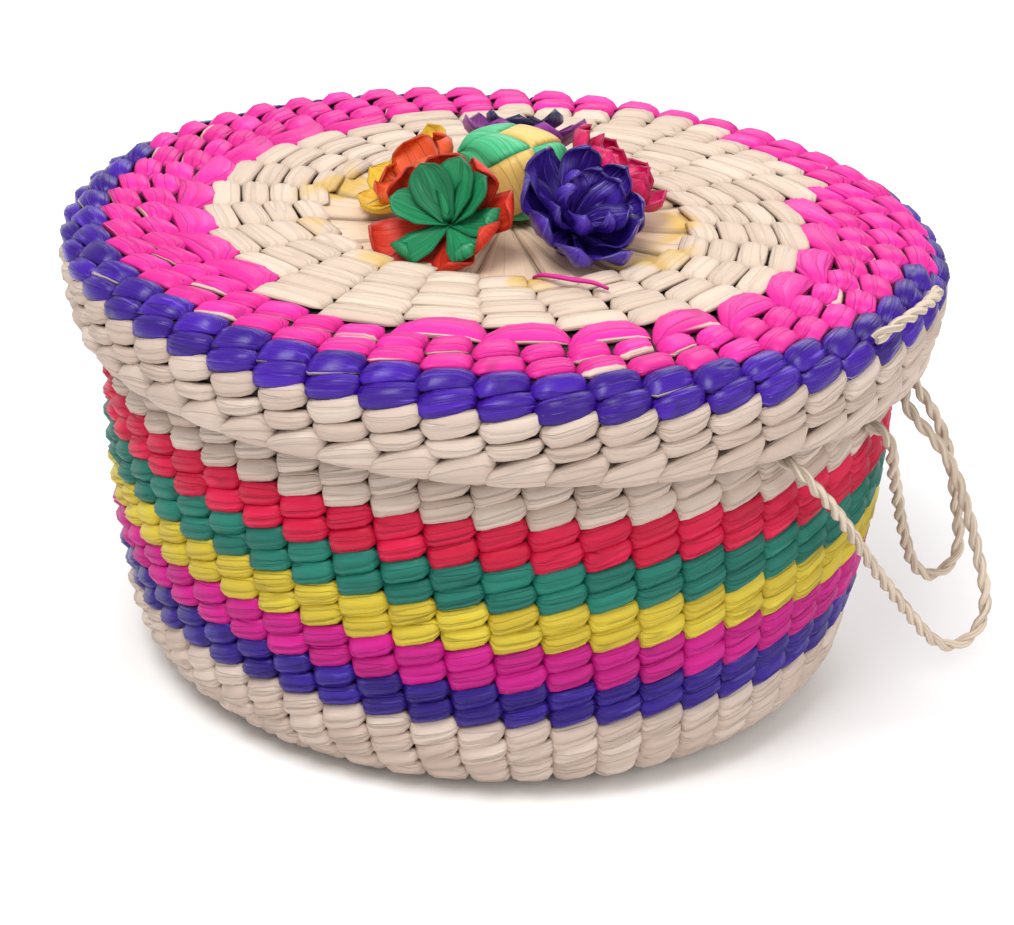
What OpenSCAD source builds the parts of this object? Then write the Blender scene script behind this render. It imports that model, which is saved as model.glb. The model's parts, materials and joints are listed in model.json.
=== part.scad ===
// Woven palm tortilla warmer: a round basket with an overlapping lid, folded palm flowers and a tether.
// Sizes are in millimetres. The origin is the middle of the underside, and +Z is up.

/* [Basket] */
// Radius of the basket at its widest, over the crests of the weft
belly_radius = 113; // [105:1:125]
// Height of the widest ring above the table
belly_height = 84; // [70:1:92]
// How much the wall draws in from the widest ring down to the foot
foot_draw = 6.5; // [3:0.5:12]
// How much the wall draws in from the widest ring up to the rim
rim_draw = 6.5; // [4:0.5:10]
// Radius of the flat ring that the basket stands on
base_radius = 84; // [78:1:92]
// Height of the rounded foot
foot_height = 26; // [20:1:32]
// Height of one weft row on the wall
row_height = 6.2; // [5.6:0.1:6.8]

/* [Lid] */
// Free room between the basket's wall and the inside of the lid's rim
skirt_clearance = 1.4; // [0.8:0.1:5]
// Width of the lid's rounded edge, seen from above
edge_width = 13; // [11:0.5:16]
// Radius where the plain rows of the lid's top end and its dyed rows start
crown_radius = 84; // [78:1:92]
// Height of the lid's rounded edge
edge_height = 9.5; // [8:0.5:12]
// How much the skirt draws in from the edge down to its rim
skirt_draw = 4.5; // [2:0.5:5]
// Height of one weft row on the skirt
skirt_row_height = 6.2; // [5.6:0.1:6.8]
// Height of the bound rim under the skirt
lid_rim_height = 8.4; // [6:0.2:10]
// Rise of the lid's middle over its edge
lid_dome = 1.5; // [0.5:0.5:4]

/* [Weave] */
// Number of palm stakes, and so of lobes in each weft row
stake_count = 52; // [44:4:60]
// Radius of the plain disc where the stakes meet, on the lid and under the basket
hub_radius = 51; // [44:1:56]
// Height of a weft lobe over the stakes
lobe_depth = 3.4; // [2.8:0.2:4]
// Height of the groove between two lobes over the stakes
groove_depth = 1.6; // [1:0.2:2]
// Thickness of a stake
stake_thickness = 1.2; // [0.8:0.1:1.6]
// Gap between two stakes, as a share of their spacing
stake_gap = 0.14; // [0.08:0.02:0.3]
// Thickness of the weft's back strand, on the inside of the wall
back_depth = 2.4; // [1.8:0.2:3]
// How far the lobes step round in each row, as a share of a lobe
row_lean = 0.08; // [0:0.02:0.16]

/* [Flowers] */
// Thickness of a folded palm strip
strip_thickness = 0.8; // [0.6:0.1:1]
// Width of the woven bead in the middle
bead_width = 26; // [22:1:27]
// Height of the woven bead
bead_height = 26; // [18:1:27]

/* [Tether] */
// Diameter of the twisted palm cord
cord_diameter = 3.8; // [3.2:0.2:4.4]

/* [Hidden] */
// Free room between a stake and the strands on both sides of it
seat = 0.25;
// Free room between a cord's end and what it goes into
cord_gap = 0.3;
// Free room between a plain round form and the many-sided ring of lobes beside it
ring_gap = 0.2;

foot_rows = 6;
// Rows of the foot that turn up from the flat underside
heel_rows = 3;
band_rows = 2;
shoulder_rows = 2;
collar_rows = 3;
base_rows = 5;
crown_rows = 4;
blossom_rows = 3;
edge_rows = 2;
skirt_rows = 2;

// Stakes that one lobe of the crown spans
crown_span = 2;

purple_start = foot_rows;
magenta_start = purple_start + band_rows;
yellow_start = magenta_start + band_rows;
green_start = yellow_start + band_rows;
red_start = green_start + band_rows;
shoulder_start = red_start + band_rows;
collar_start = shoulder_start + shoulder_rows;
rim_start = collar_start + collar_rows;
wall_end = rim_start + 1;
rim_z = foot_height + (wall_end - foot_rows) * row_height;

blossom_start = crown_rows;
edge_start = blossom_start + blossom_rows;
skirt_start = edge_start + edge_rows;
lid_rim_start = skirt_start + skirt_rows;
lid_end = lid_rim_start + 1;

back_start = lobe_depth + seat + stake_thickness + seat / 2;
wall_thickness = back_start + back_depth;
shoulder_z = rim_z + wall_thickness;
edge_z = shoulder_z - edge_height;
skirt_z = edge_z - skirt_rows * skirt_row_height - lid_rim_height;
lid_radius = wall_radius(skirt_z) + skirt_clearance + wall_thickness + skirt_draw;
edge_radius = lid_radius - edge_width;
crown_row_width = (crown_radius - hub_radius) / crown_rows;
blossom_row_width = (edge_radius - crown_radius) / blossom_rows;
base_row_width = (base_radius - hub_radius) / base_rows;
hub_thickness = 2.4;

// Where a lobe's crest runs, as shares of the lobe's length and of the row's height
crest_start = 0.28;
crest_end = 0.78;
crest_slant = 0.1;
// Where a plain row is fullest, as shares of the row's height, and how much of the back strand is swell
swell_start = 0.3;
swell_end = 0.7;
back_base = 0.6;

// Flowers: [across, towards the back, petal length, petal width]
flower_lean = 32;
stem_height = 6;
stem_radius = 2.2;
tie_radius = 0.6;
green_flower = [-16, -27, 21, 13];
violet_flower = [18.5, -22.5, 20, 12];
orange_flower = [-26.5, 3, 18.5, 11];
magenta_flower = [28.5, 7, 17.5, 11];
purple_flower = [4, 32.5, 19, 12];
bead_place = [1, 3];

// The cord's two free stretches, from the wall under the lid's rim to the lid's rim
front_route = [
    [74.7, -84.6, 99], [78.5, -88.2, 98], [83.5, -88, 93], [89, -84, 86], [96, -77, 75],
    [104, -69, 61.5], [112, -62, 49.5], [119, -56.5, 39.5], [125, -52.5, 32], [131, -49.5, 28.5],
    [136.5, -47.5, 30.5], [139.5, -46, 36], [139.5, -45, 43.5], [136.5, -44, 54], [132.5, -43, 66],
    [127.5, -42.2, 78], [121.5, -41.8, 87], [115.5, -41.3, 93], [111.6, -40.7, 98], [111, -40.4, 101.9]];
back_route = [
    [100.8, -50.2, 95], [105, -51.8, 93.5], [108, -50, 88], [109.5, -46.5, 80.5], [112, -42, 71.5],
    [114.5, -37.5, 62], [117.5, -33.2, 52.5], [121, -29.5, 43.8], [126, -26.8, 39], [131.3, -25, 40.8],
    [134, -24, 46.5], [133.2, -23.2, 55], [130.5, -22.8, 67], [127, -23, 79], [122.5, -24.2, 88],
    [117.8, -25.9, 95], [115.2, -26.7, 98.8], [114.8, -26.8, 101.9]];
// Where the cord crosses the lid's edge, as [angle round, height over the weft]
stitch_route = [[-37.5, 0.3], [-36, 2.7], [-33, 4.5], [-28, 5.2], [-23, 4.5], [-20, 2.7], [-18.5, 0.3]];
stitch_slope = 50;
// The side from which the tubes' flats are set out, which no stretch of the cord runs along
tube_side = [0.5, 0.85, 0.1];

natural = "#dccdb8";
purple = "#3b2099";
magenta = "#cf1b92";
yellow = "#dcc84b";
green = "#2b8577";
red = "#db2050";
pink = "#f63fbc";

// ---- curves that the wall and the lid follow, as [radius, height] at a count of weft rows ----

function wall_radius(z) = z < belly_height
    ? belly_radius - foot_draw * pow((belly_height - z) / (belly_height - foot_height), 2)
    : belly_radius - rim_draw * pow((z - belly_height) / (rim_z - belly_height), 2);

function basket_curve(t) =
    t < 0 ? [base_radius + t * base_row_width, 0]
    : t < foot_rows ? let (a = 90 * t / foot_rows)
        [base_radius + (wall_radius(foot_height) - base_radius) * sin(a), foot_height * (1 - cos(a))]
    : let (z = foot_height + (t - foot_rows) * row_height) [wall_radius(z), z];

function top_z(r) = shoulder_z + lid_dome * (1 - pow(r / edge_radius, 2));

function skirt_radius(z) = lid_radius - skirt_draw * pow((edge_z - z) / (edge_z - skirt_z), 2);

function lid_curve(t) =
    t < blossom_start ? let (r = hub_radius + t * crown_row_width) [r, top_z(r)]
    : t < edge_start ? let (r = crown_radius + (t - blossom_start) * blossom_row_width) [r, top_z(r)]
    : t < skirt_start ? let (a = 90 * (t - edge_start) / edge_rows)
        [edge_radius + (lid_radius - edge_radius) * sin(a), shoulder_z - edge_height * (1 - cos(a))]
    : t < lid_rim_start ? let (z = edge_z - (t - skirt_start) * skirt_row_height) [skirt_radius(z), z]
    : let (z = skirt_z + (lid_end - t) * lid_rim_height) [skirt_radius(z), z];

// The two curves by number: 0 is the basket, 1 is the lid. Both have their outside on the given side.
function curve(part, t) = part == 0 ? basket_curve(t) : lid_curve(t);
function outward(part, t) = let (
        step = 0.02,
        d = curve(part, t + step) - curve(part, t - step),
        n = [d.y, -d.x] / norm(d)
    ) part == 0 ? n : -n;
function under(part, t, depth) = curve(part, t) - depth * outward(part, t);
function turned(p, lobes) = let (a = 360 * lobes / stake_count) [p.x * cos(a), p.x * sin(a), p.y];

// ---- weft ----

// Rows of plump lobes, from row t0 to row t1, as one closed ring. Each lobe spans one stake or more.
module lobed_rows(part, t0, t1, span = 1) {
    rows = t1 - t0;
    n = stake_count / span;
    lean = part == 0 ? -row_lean : row_lean;
    slant = part == 0 ? crest_slant : -crest_slant;
    corners = [for (k = [0:rows], j = [0:n - 1])
        turned(under(part, t0 + k, lobe_depth - groove_depth), span * j + lean * (t0 + k))];
    left_crests = [for (k = [0:rows - 1], j = [0:n - 1])
        turned(under(part, t0 + k + 0.5 - slant, 0), span * (j + crest_start) + lean * (t0 + k + 0.5))];
    right_crests = [for (k = [0:rows - 1], j = [0:n - 1])
        turned(under(part, t0 + k + 0.5 + slant, 0), span * (j + crest_end) + lean * (t0 + k + 0.5))];
    backs = [for (k = [0:rows], j = [0:n - 1])
        turned(under(part, t0 + k, lobe_depth), span * j + lean * (t0 + k))];
    lefts_at = (rows + 1) * n;
    rights_at = lefts_at + rows * n;
    backs_at = rights_at + rows * n;
    function corner(k, j) = k * n + j % n;
    function back(k, j) = backs_at + k * n + j % n;
    lobes = [for (k = [0:rows - 1], j = [0:n - 1]) let (
            a = corner(k, j), b = corner(k, j + 1), c = corner(k + 1, j + 1), d = corner(k + 1, j),
            l = lefts_at + k * n + j, r = rights_at + k * n + j
        ) each [[d, c, r], [d, r, l], [b, a, l], [b, l, r], [d, l, a], [c, b, r]]];
    inside = [for (k = [0:rows - 1], j = [0:n - 1])
        each [[back(k, j), back(k, j + 1), back(k + 1, j)],
              [back(k, j + 1), back(k + 1, j + 1), back(k + 1, j)]]];
    ends = [for (j = [0:n - 1])
        each [[corner(0, j), corner(0, j + 1), back(0, j + 1)],
              [corner(0, j), back(0, j + 1), back(0, j)],
              [corner(rows, j + 1), corner(rows, j), back(rows, j + 1)],
              [corner(rows, j), back(rows, j), back(rows, j + 1)]]];
    faces = concat(lobes, inside, ends);
    polyhedron(concat(corners, left_crests, right_crests, backs),
               part == 0 ? faces : [for (f = faces) [f[0], f[2], f[1]]]);
}

// The back strands of the same rows: a ring that swells in each row
module back_rows(part, t0, t1) {
    start = back_start;
    thin = back_depth * back_base;
    rotate_extrude($fn = 96) polygon(concat(
        [for (k = [t0:t1]) under(part, k, start)],
        [for (k = [t1:-1:t0 + 1]) each [
            under(part, k, start + thin),
            under(part, k - swell_start, start + back_depth),
            under(part, k - swell_end, start + back_depth)]],
        [under(part, t0, start + thin)]));
}

// The back strands under the flat of the lid, which lies on the basket's rim
module flat_back(t0, t1) {
    rotate_extrude($fn = 96) polygon(concat(
        [for (k = [t0:t1]) under(1, k, back_start)],
        [[under(1, t1, wall_thickness).x, rim_z], [under(1, t0, wall_thickness).x, rim_z]]));
}

module weft(part, t0, t1) {
    lobed_rows(part, t0, t1);
    back_rows(part, t0, t1);
}

// ---- stakes ----

// Thin strips side by side that follow a curve between the front and back strands
module stakes(part, t0, t1) {
    front = lobe_depth + seat;
    share = 1 - stake_gap;
    for (i = [0:stake_count - 1])
        rotate([0, 0, 360 * (i + 0.5 * stake_gap) / stake_count])
            rotate_extrude(angle = 360 * share / stake_count, $fn = 96) polygon(concat(
                [for (k = [t0:t1]) under(part, k, front)],
                [for (k = [t1:-1:t0]) under(part, k, front + stake_thickness)]));
}

// The disc where the stakes lie side by side with no weft, scored between them
module hub(top) {
    score = 0.5;
    score_start = 14;
    difference() {
        translate([0, 0, top - hub_thickness])
            cylinder(h = hub_thickness, r = hub_radius - ring_gap, $fn = 96);
        for (i = [0:stake_count - 1])
            rotate([0, 0, 360 * i / stake_count])
                translate([score_start, -score / 2, top - score]) cube([hub_radius, score, hub_thickness]);
    }
}

// ---- basket ----

module base_hub() {
    color(natural) mirror([0, 0, 1]) hub(-lobe_depth - seat);
}

// Rows of weft on the underside, flat where they lie on the table, and their back strands inside
module base_weft() {
    flat = 0.7;
    color(natural) {
        for (k = [0:base_rows - 1]) {
            r0 = hub_radius + k * base_row_width;
            r1 = r0 + base_row_width - (k == base_rows - 1 ? ring_gap : 0);
            slope = base_row_width * (1 - flat) / 2;
            rotate_extrude($fn = 96) polygon([
                [r0, lobe_depth], [r0, lobe_depth - groove_depth], [r0 + slope, 0],
                [r1 - slope, 0], [r1, lobe_depth - groove_depth], [r1, lobe_depth]]);
        }
        back_rows(0, -base_rows, 0);
    }
}

module basket_stakes() {
    color(natural) stakes(0, -base_rows, rim_start);
}

module heel_weft() { color(natural) weft(0, 0, heel_rows); }
module foot_weft() { color(natural) weft(0, heel_rows, purple_start); }
module purple_band() { color(purple) weft(0, purple_start, magenta_start); }
module magenta_band() { color(magenta) weft(0, magenta_start, yellow_start); }
module yellow_band() { color(yellow) weft(0, yellow_start, green_start); }
module green_band() { color(green) weft(0, green_start, red_start); }
module red_band() { color(red) weft(0, red_start, shoulder_start); }
module shoulder_weft() { color(natural) weft(0, shoulder_start, collar_start); }

// Plain rows that the lid covers
module collar_weft() {
    start = collar_start + ring_gap / row_height;
    groove = lobe_depth - groove_depth;
    color(natural) {
        rotate_extrude($fn = 96) polygon(concat(
            [under(0, start, lobe_depth)],
            [for (k = [collar_start + 1:rim_start]) under(0, k, lobe_depth)],
            [for (k = [rim_start:-1:collar_start + 1])
                each [under(0, k, groove), under(0, k - swell_start, 0), under(0, k - swell_end, 0)]],
            [under(0, start, groove)]));
        back_rows(0, collar_start, rim_start);
    }
}

// The binding that closes the top of the wall over the stakes' ends
module basket_rim() {
    low = under(0, rim_start, lobe_depth - groove_depth);
    high = under(0, wall_end, 0);
    inner = under(0, rim_start, wall_thickness);
    bulge = 0.6;
    corner = 1.2;
    color(natural) rotate_extrude($fn = 96) polygon([
        low, [low.x + bulge, low.y + corner], [high.x + bulge, rim_z - corner],
        [high.x + bulge - corner, rim_z], [inner.x + corner, rim_z], [inner.x, rim_z - corner], inner]);
}

// ---- lid ----

module lid_hub() {
    color(natural) hub(top_z(hub_radius) - lobe_depth - seat);
}

module lid_stakes() {
    color(natural) stakes(1, 0, lid_rim_start);
}

module crown_weft() {
    color(natural) {
        lobed_rows(1, 0, blossom_start, crown_span);
        flat_back(0, blossom_start);
    }
}

module pink_band() {
    color(pink) {
        lobed_rows(1, blossom_start, edge_start);
        flat_back(blossom_start, edge_start);
    }
}

module lid_edge_band() { color(purple) weft(1, edge_start, skirt_start); }
module skirt_weft() { color(natural) weft(1, skirt_start, lid_rim_start); }

// The bound rim: long wraps over the stakes' ends, closed to the inside
module lid_rim() {
    inner = under(1, lid_rim_start, wall_thickness);
    front = under(1, lid_rim_start, lobe_depth);
    foot = curve(1, lid_end);
    foot_rise = 0.2;
    inner_rise = 0.6;
    color(natural) {
        lobed_rows(1, lid_rim_start, lid_end);
        rotate_extrude($fn = 96) polygon([
            [front.x - seat, front.y], [foot.x - lobe_depth - seat, foot.y + foot_rise],
            [foot.x - wall_thickness, foot.y + inner_rise], inner]);
    }
}

// ---- flowers ----

hub_z = top_z(hub_radius) - lobe_depth - seat;

// A cup of pointed petals round a stem, each petal folded along its middle, as one closed solid.
// The cup's middle is the origin, the petals rise from it, and the stem goes down to a given depth.
module petal_cup(count, length, width, rise, turn, stem, stem_end) {
    n = count;
    spread = 180 / n;
    thick = strip_thickness / cos(rise);
    neck = strip_thickness + stem_end;
    crease_share = 0.5;
    fold = width * 0.16;
    half = width / 2;
    reach = length * cos(rise);
    climb = length * sin(rise);
    // Two petals meet where half their width, which falls to nothing at the tip, fills the space between
    meet = half / (half + reach * (1 - crease_share) * tan(spread));
    cleft = reach * (1 - (1 - crease_share) * (1 - meet));
    function at(radius, angle, z) = [radius * cos(turn + angle), radius * sin(turn + angle), z];
    function rise_at(radius) = climb * radius / reach;
    function ring(radius, shift, z) = [for (i = [0:n - 1]) at(radius, 360 * i / n + shift, z)];
    points = concat(
        [[0, 0, 0]],
        ring(reach * crease_share, 0, rise_at(reach * crease_share) - fold),
        ring(cleft, spread, rise_at(cleft)),
        ring(reach, 0, climb),
        ring(reach * crease_share, 0, rise_at(reach * crease_share) - fold - thick),
        ring(cleft, spread, rise_at(cleft) - thick),
        ring(neck, 0, rise_at(neck) - thick - fold * neck / (reach * crease_share)),
        ring(stem_end, 0, -stem));
    function crease(i) = 1 + i % n;
    function gap(i) = 1 + n + i % n;
    function tip(i) = 1 + 2 * n + i % n;
    function low_crease(i) = 1 + 3 * n + i % n;
    function low_gap(i) = 1 + 4 * n + i % n;
    function collar(i) = 1 + 5 * n + i % n;
    function foot(i) = 1 + 6 * n + i % n;
    petals = [for (i = [0:n - 1]) let (before = i + n - 1) each [
        [0, crease(i), gap(before)], [0, gap(i), crease(i)],
        [crease(i), tip(i), gap(before)], [crease(i), gap(i), tip(i)],
        [gap(i), low_gap(i), tip(i)], [gap(i), tip(i + 1), low_gap(i)],
        [low_crease(i), low_gap(before), tip(i)], [low_crease(i), tip(i), low_gap(i)],
        [collar(i), low_gap(before), low_crease(i)], [collar(i), low_crease(i), low_gap(i)],
        [collar(i), low_gap(i), collar(i + 1)],
        [foot(i), collar(i), collar(i + 1)], [foot(i), collar(i + 1), foot(i + 1)]]];
    base = [[for (i = [0:n - 1]) foot(i)]];
    polyhedron(points, concat(petals, base));
}

// Places a flower's own frame on the lid, leaning away from the lid's middle
module on_lid(flower, up) {
    translate([flower[0], flower[1], hub_z + stem_height])
        rotate([0, 0, atan2(flower[1], flower[0])])
            rotate([0, flower_lean, 0]) translate([0, 0, up]) children();
}

// The outer petals, on the stem that ties them to the lid
module outer_petals(flower, count, rise, turn) {
    stem = (stem_height - stem_radius * sin(flower_lean) - 0.1) / cos(flower_lean);
    on_lid(flower, 0) petal_cup(count, flower[2], flower[3], rise, turn, stem, stem_radius);
}

// The inner petals, tied on over the middle of the outer ones
module inner_petals(flower, count, share, rise, turn) {
    tie = 2.4;
    on_lid(flower, tie + tie_radius)
        petal_cup(count, flower[2] * share, flower[3] * share, rise, turn, tie, tie_radius);
}

module green_star() { color("#2e9a63") inner_petals(green_flower, 7, 0.85, 52, 10); }
module red_petals() { color("#e0402f") outer_petals(green_flower, 7, 24, 36); }
module violet_petals() { color("#4a2fb0") outer_petals(violet_flower, 8, 36, 0); }
module violet_heart() { color("#5a3fc4") inner_petals(violet_flower, 6, 0.8, 60, 20); }
module orange_petals() { color("#f26a3c") outer_petals(orange_flower, 7, 34, 15); }
module yellow_petals() { color("#f2b63c") inner_petals(orange_flower, 5, 0.8, 60, 0); }
module magenta_petals() { color("#e0308f") outer_petals(magenta_flower, 7, 34, 10); }
module magenta_heart() { color("#c41f6f") inner_petals(magenta_flower, 5, 0.8, 60, 30); }
module purple_petals() { color("#8f3fa8") outer_petals(purple_flower, 7, 36, 5); }
module purple_heart() { color("#3a2478") inner_petals(purple_flower, 5, 0.8, 60, 0); }

// The bead's rounded body, grown by the given amount
module bead_form(grow) {
    rounding = bead_width * 0.58;
    translate([bead_place.x, bead_place.y, hub_z + cord_gap + strip_thickness + bead_height / 2])
        intersection() {
            rotate([0, 0, 45])
                cube([bead_width + 2 * grow, bead_width + 2 * grow, bead_height + 2 * grow], center = true);
            sphere(r = rounding + grow, $fn = 64);
        }
}

module woven_bead() { color("#5ccb8f") bead_form(0); }

// Lighter strips that cross over the bead
module bead_strips() {
    strip_width = bead_width * 0.3;
    first_turn = 20;
    color("#e3c877") intersection() {
        difference() {
            bead_form(strip_thickness);
            bead_form(0.05);
        }
        translate([bead_place.x, bead_place.y, hub_z + cord_gap + 0.1])
            for (turn = [first_turn, first_turn + 90])
                rotate([0, 0, turn])
                    translate([-bead_width, -strip_width / 2, 0])
                        cube([2 * bead_width, strip_width, 2 * bead_height]);
    }
}

// ---- tether ----

// A round tube through the given points, with a flat end on the first and the last
module tube(route, diameter, across) {
    sides = 8;
    last = len(route) - 1;
    function along(i) = let (d = route[min(i + 1, last)] - route[max(i - 1, 0)]) d / norm(d);
    rings = [for (i = [0:last]) let (
            t = along(i), s = cross(t, across), u = s / norm(s), v = cross(t, u)
        ) [for (k = [0:sides - 1]) let (a = 360 * k / sides)
            route[i] + diameter / 2 * (cos(a) * u + sin(a) * v)]];
    walls = [for (i = [0:last - 1], k = [0:sides - 1]) let (
            a = i * sides + k, b = i * sides + (k + 1) % sides
        ) each [[a, a + sides, b], [b, a + sides, b + sides]]];
    caps = [[for (k = [0:sides - 1]) k], [for (k = [sides - 1:-1:0]) last * sides + k]];
    polyhedron([for (ring = rings) each ring], concat(walls, caps));
}

module tether_front() { color(natural) tube(front_route, cord_diameter, tube_side); }
module tether_back() { color(natural) tube(back_route, cord_diameter, tube_side); }

// The short stretch of the cord that lies over the lid's edge
module tether_stitch() {
    rise = [sin(stitch_slope) / (lid_radius - edge_radius), cos(stitch_slope) / edge_height];
    away = rise / norm(rise);
    foot = [edge_radius + (lid_radius - edge_radius) * sin(stitch_slope),
            edge_z + edge_height * cos(stitch_slope)];
    route = [for (p = stitch_route) let (q = foot + (p.y) * away) [q.x * cos(p.x), q.x * sin(p.x), q.y]];
    color(natural) tube(route, cord_diameter, [0, 0, 1]);
}

base_hub();
base_weft();
basket_stakes();
heel_weft();
foot_weft();
purple_band();
magenta_band();
yellow_band();
green_band();
red_band();
shoulder_weft();
collar_weft();
basket_rim();
lid_hub();
lid_stakes();
crown_weft();
pink_band();
lid_edge_band();
skirt_weft();
lid_rim();
green_star();
red_petals();
violet_petals();
violet_heart();
orange_petals();
yellow_petals();
magenta_petals();
magenta_heart();
purple_petals();
purple_heart();
woven_bead();
bead_strips();
tether_front();
tether_back();
tether_stitch();
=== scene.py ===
import json
import logging
import math
import random
from collections.abc import Callable, Sequence
from dataclasses import dataclass
from enum import Enum

import bmesh
import bpy
from mathutils import Euler, Matrix, Vector

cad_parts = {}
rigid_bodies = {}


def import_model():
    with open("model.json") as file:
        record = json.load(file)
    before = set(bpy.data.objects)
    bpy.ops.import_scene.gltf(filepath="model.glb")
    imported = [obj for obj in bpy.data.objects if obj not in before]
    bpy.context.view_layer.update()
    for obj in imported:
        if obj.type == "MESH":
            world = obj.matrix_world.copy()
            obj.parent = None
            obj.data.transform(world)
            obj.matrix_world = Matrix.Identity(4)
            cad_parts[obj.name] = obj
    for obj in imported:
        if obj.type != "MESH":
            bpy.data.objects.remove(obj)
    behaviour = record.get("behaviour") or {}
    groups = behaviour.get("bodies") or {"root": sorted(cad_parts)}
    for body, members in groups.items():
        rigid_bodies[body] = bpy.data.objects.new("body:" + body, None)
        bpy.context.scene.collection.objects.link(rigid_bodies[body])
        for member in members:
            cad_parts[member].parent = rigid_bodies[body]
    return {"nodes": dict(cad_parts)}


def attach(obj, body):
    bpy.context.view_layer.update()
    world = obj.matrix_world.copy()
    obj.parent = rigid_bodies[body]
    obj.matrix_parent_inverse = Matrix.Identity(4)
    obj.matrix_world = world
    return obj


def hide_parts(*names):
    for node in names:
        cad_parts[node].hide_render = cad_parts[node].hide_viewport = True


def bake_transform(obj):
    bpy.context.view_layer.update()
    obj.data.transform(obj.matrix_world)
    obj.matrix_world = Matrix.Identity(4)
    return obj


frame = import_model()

log = logging.getLogger("tortilla_warmer")

MM = 0.001
STAKES = 52
HUB_STAKES = 26  # how many strips the stakes form at a hub, where two of them lie together
BACK_SHIFT = 0.03  # how far the strands behind the stakes lie past them, in stakes
Point = tuple[float, float, float]
Colour = tuple[float, float, float]


# ---------------------------------------------------------------------------------------------
# Node trees
# ---------------------------------------------------------------------------------------------


class Graph:
    """A node tree under construction, with short calls for its sockets, nodes and links."""

    def __init__(self, tree: bpy.types.NodeTree) -> None:
        """Starts on the given tree."""
        self.tree = tree

    def socket(self, name: str, kind: str, default: object = None, output: bool = False) -> None:
        """Adds a named input or output to a group.

        Args:
            name: The socket's name.
            kind: The socket's type, such as Float or Vector, without NodeSocket in front.
            default: The value that it has until another is set.
            output: Whether it is an output.
        """
        made = self.tree.interface.new_socket(
            name, in_out="OUTPUT" if output else "INPUT", socket_type=f"NodeSocket{kind}"
        )
        if default is not None:
            made.default_value = default

    def add(self, kind: str, inputs: dict | None = None, **settings: object) -> bpy.types.Node:
        """Adds a node, sets its settings and then its inputs.

        Args:
            kind: The node's type.
            inputs: Values or output sockets, by the input's name or number.
            **settings: The node's own properties.

        Returns:
            The node.
        """
        node = self.tree.nodes.new(kind)
        for name, value in settings.items():
            setattr(node, name, value)
        for name, value in (inputs or {}).items():
            self.feed(node.inputs[name], value)
        return node

    def feed(self, socket: bpy.types.NodeSocket, value: object) -> None:
        """Links an output to the socket, or sets its value."""
        if isinstance(value, bpy.types.NodeSocket):
            self.tree.links.new(value, socket)
        else:
            socket.default_value = value

    def math(self, operation: str, *values: object) -> bpy.types.NodeSocket:
        """Returns the result of an operation on up to three numbers."""
        return self.add("ShaderNodeMath", dict(enumerate(values)), operation=operation).outputs[0]

    def vector(self, operation: str, inputs: dict) -> bpy.types.NodeSocket:
        """Returns the result of an operation on vectors."""
        made = self.add("ShaderNodeVectorMath", inputs, operation=operation)
        return made.outputs["Value" if operation == "LENGTH" else "Vector"]

    def ranged(
        self, value: object, low: float, high: float, first: float = 0.0, last: float = 1.0, **settings: object
    ) -> bpy.types.NodeSocket:
        """Returns a number moved from the range low to high into the range first to last."""
        return self.add("ShaderNodeMapRange", {
            "Value": value, "From Min": low, "From Max": high, "To Min": first, "To Max": last}, **settings).outputs[0]

    def noise(
        self, place: object, stretch: Point, scale: float, detail: float, roughness: float = 0.5
    ) -> bpy.types.NodeSocket:
        """Returns a noise that is stretched along each axis."""
        mapped = self.add("ShaderNodeMapping", {"Vector": place, "Scale": stretch}).outputs[0]
        return self.add("ShaderNodeTexNoise", {
            "Vector": mapped, "Scale": scale, "Detail": detail, "Roughness": roughness}).outputs[0]

    def named(self, name: str, kind: str = "FLOAT_VECTOR") -> bpy.types.NodeSocket:
        """Returns a named attribute of the geometry."""
        return self.add("GeometryNodeInputNamedAttribute", {"Name": name}, data_type=kind).outputs[0]

    def store(self, geometry: object, name: str, value: object, kind: str, domain: str) -> bpy.types.NodeSocket:
        """Returns the geometry with a value stored on it as a named attribute."""
        return self.add("GeometryNodeStoreNamedAttribute", {
            "Geometry": geometry, "Name": name, "Value": value}, data_type=kind, domain=domain).outputs[0]

    def scatter(self, low: object, high: object, seed: object, kind: str = "FLOAT") -> bpy.types.NodeSocket:
        """Draws a random value for each point.

        Args:
            low: The least value.
            high: The greatest value.
            seed: The fixed seed of the draw.
            kind: The values' type: FLOAT, INT or FLOAT_VECTOR.

        Returns:
            The value.
        """
        node = self.add("FunctionNodeRandomValue", data_type=kind)
        least, most, result = {"FLOAT_VECTOR": (0, 1, 0), "FLOAT": (2, 3, 1), "INT": (4, 5, 2)}[kind]
        for key, value in ((least, low), (most, high), ("Seed", seed)):
            self.feed(node.inputs[key], value)
        return node.outputs[result]

    def end(self, geometry: object, material: object) -> bpy.types.NodeTree:
        """Ends a geometry tree with real meshes in one material.

        Args:
            geometry: What the tree has made.
            material: The material's socket.

        Returns:
            The finished tree.
        """
        real = self.add("GeometryNodeRealizeInstances", {0: geometry}).outputs[0]
        painted = self.add("GeometryNodeSetMaterial", {"Geometry": real, "Material": material}).outputs[0]
        self.add("NodeGroupOutput", {0: painted})
        return self.tree


def start_tree(name: str, inputs: dict[str, str]) -> tuple[Graph, bpy.types.bpy_prop_collection]:
    """Starts a geometry tree, which takes a geometry, its own inputs and a material.

    Args:
        name: The tree's name.
        inputs: The type of each of its own inputs, by name.

    Returns:
        The tree under construction, and the sockets of its inputs.
    """
    g = Graph(bpy.data.node_groups.new(name, "GeometryNodeTree"))
    for key, kind in {"Geometry": "Geometry", **inputs, "Material": "Material"}.items():
        g.socket(key, kind)
    g.socket("Geometry", "Geometry", output=True)
    return g, g.add("NodeGroupInput").outputs


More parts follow.
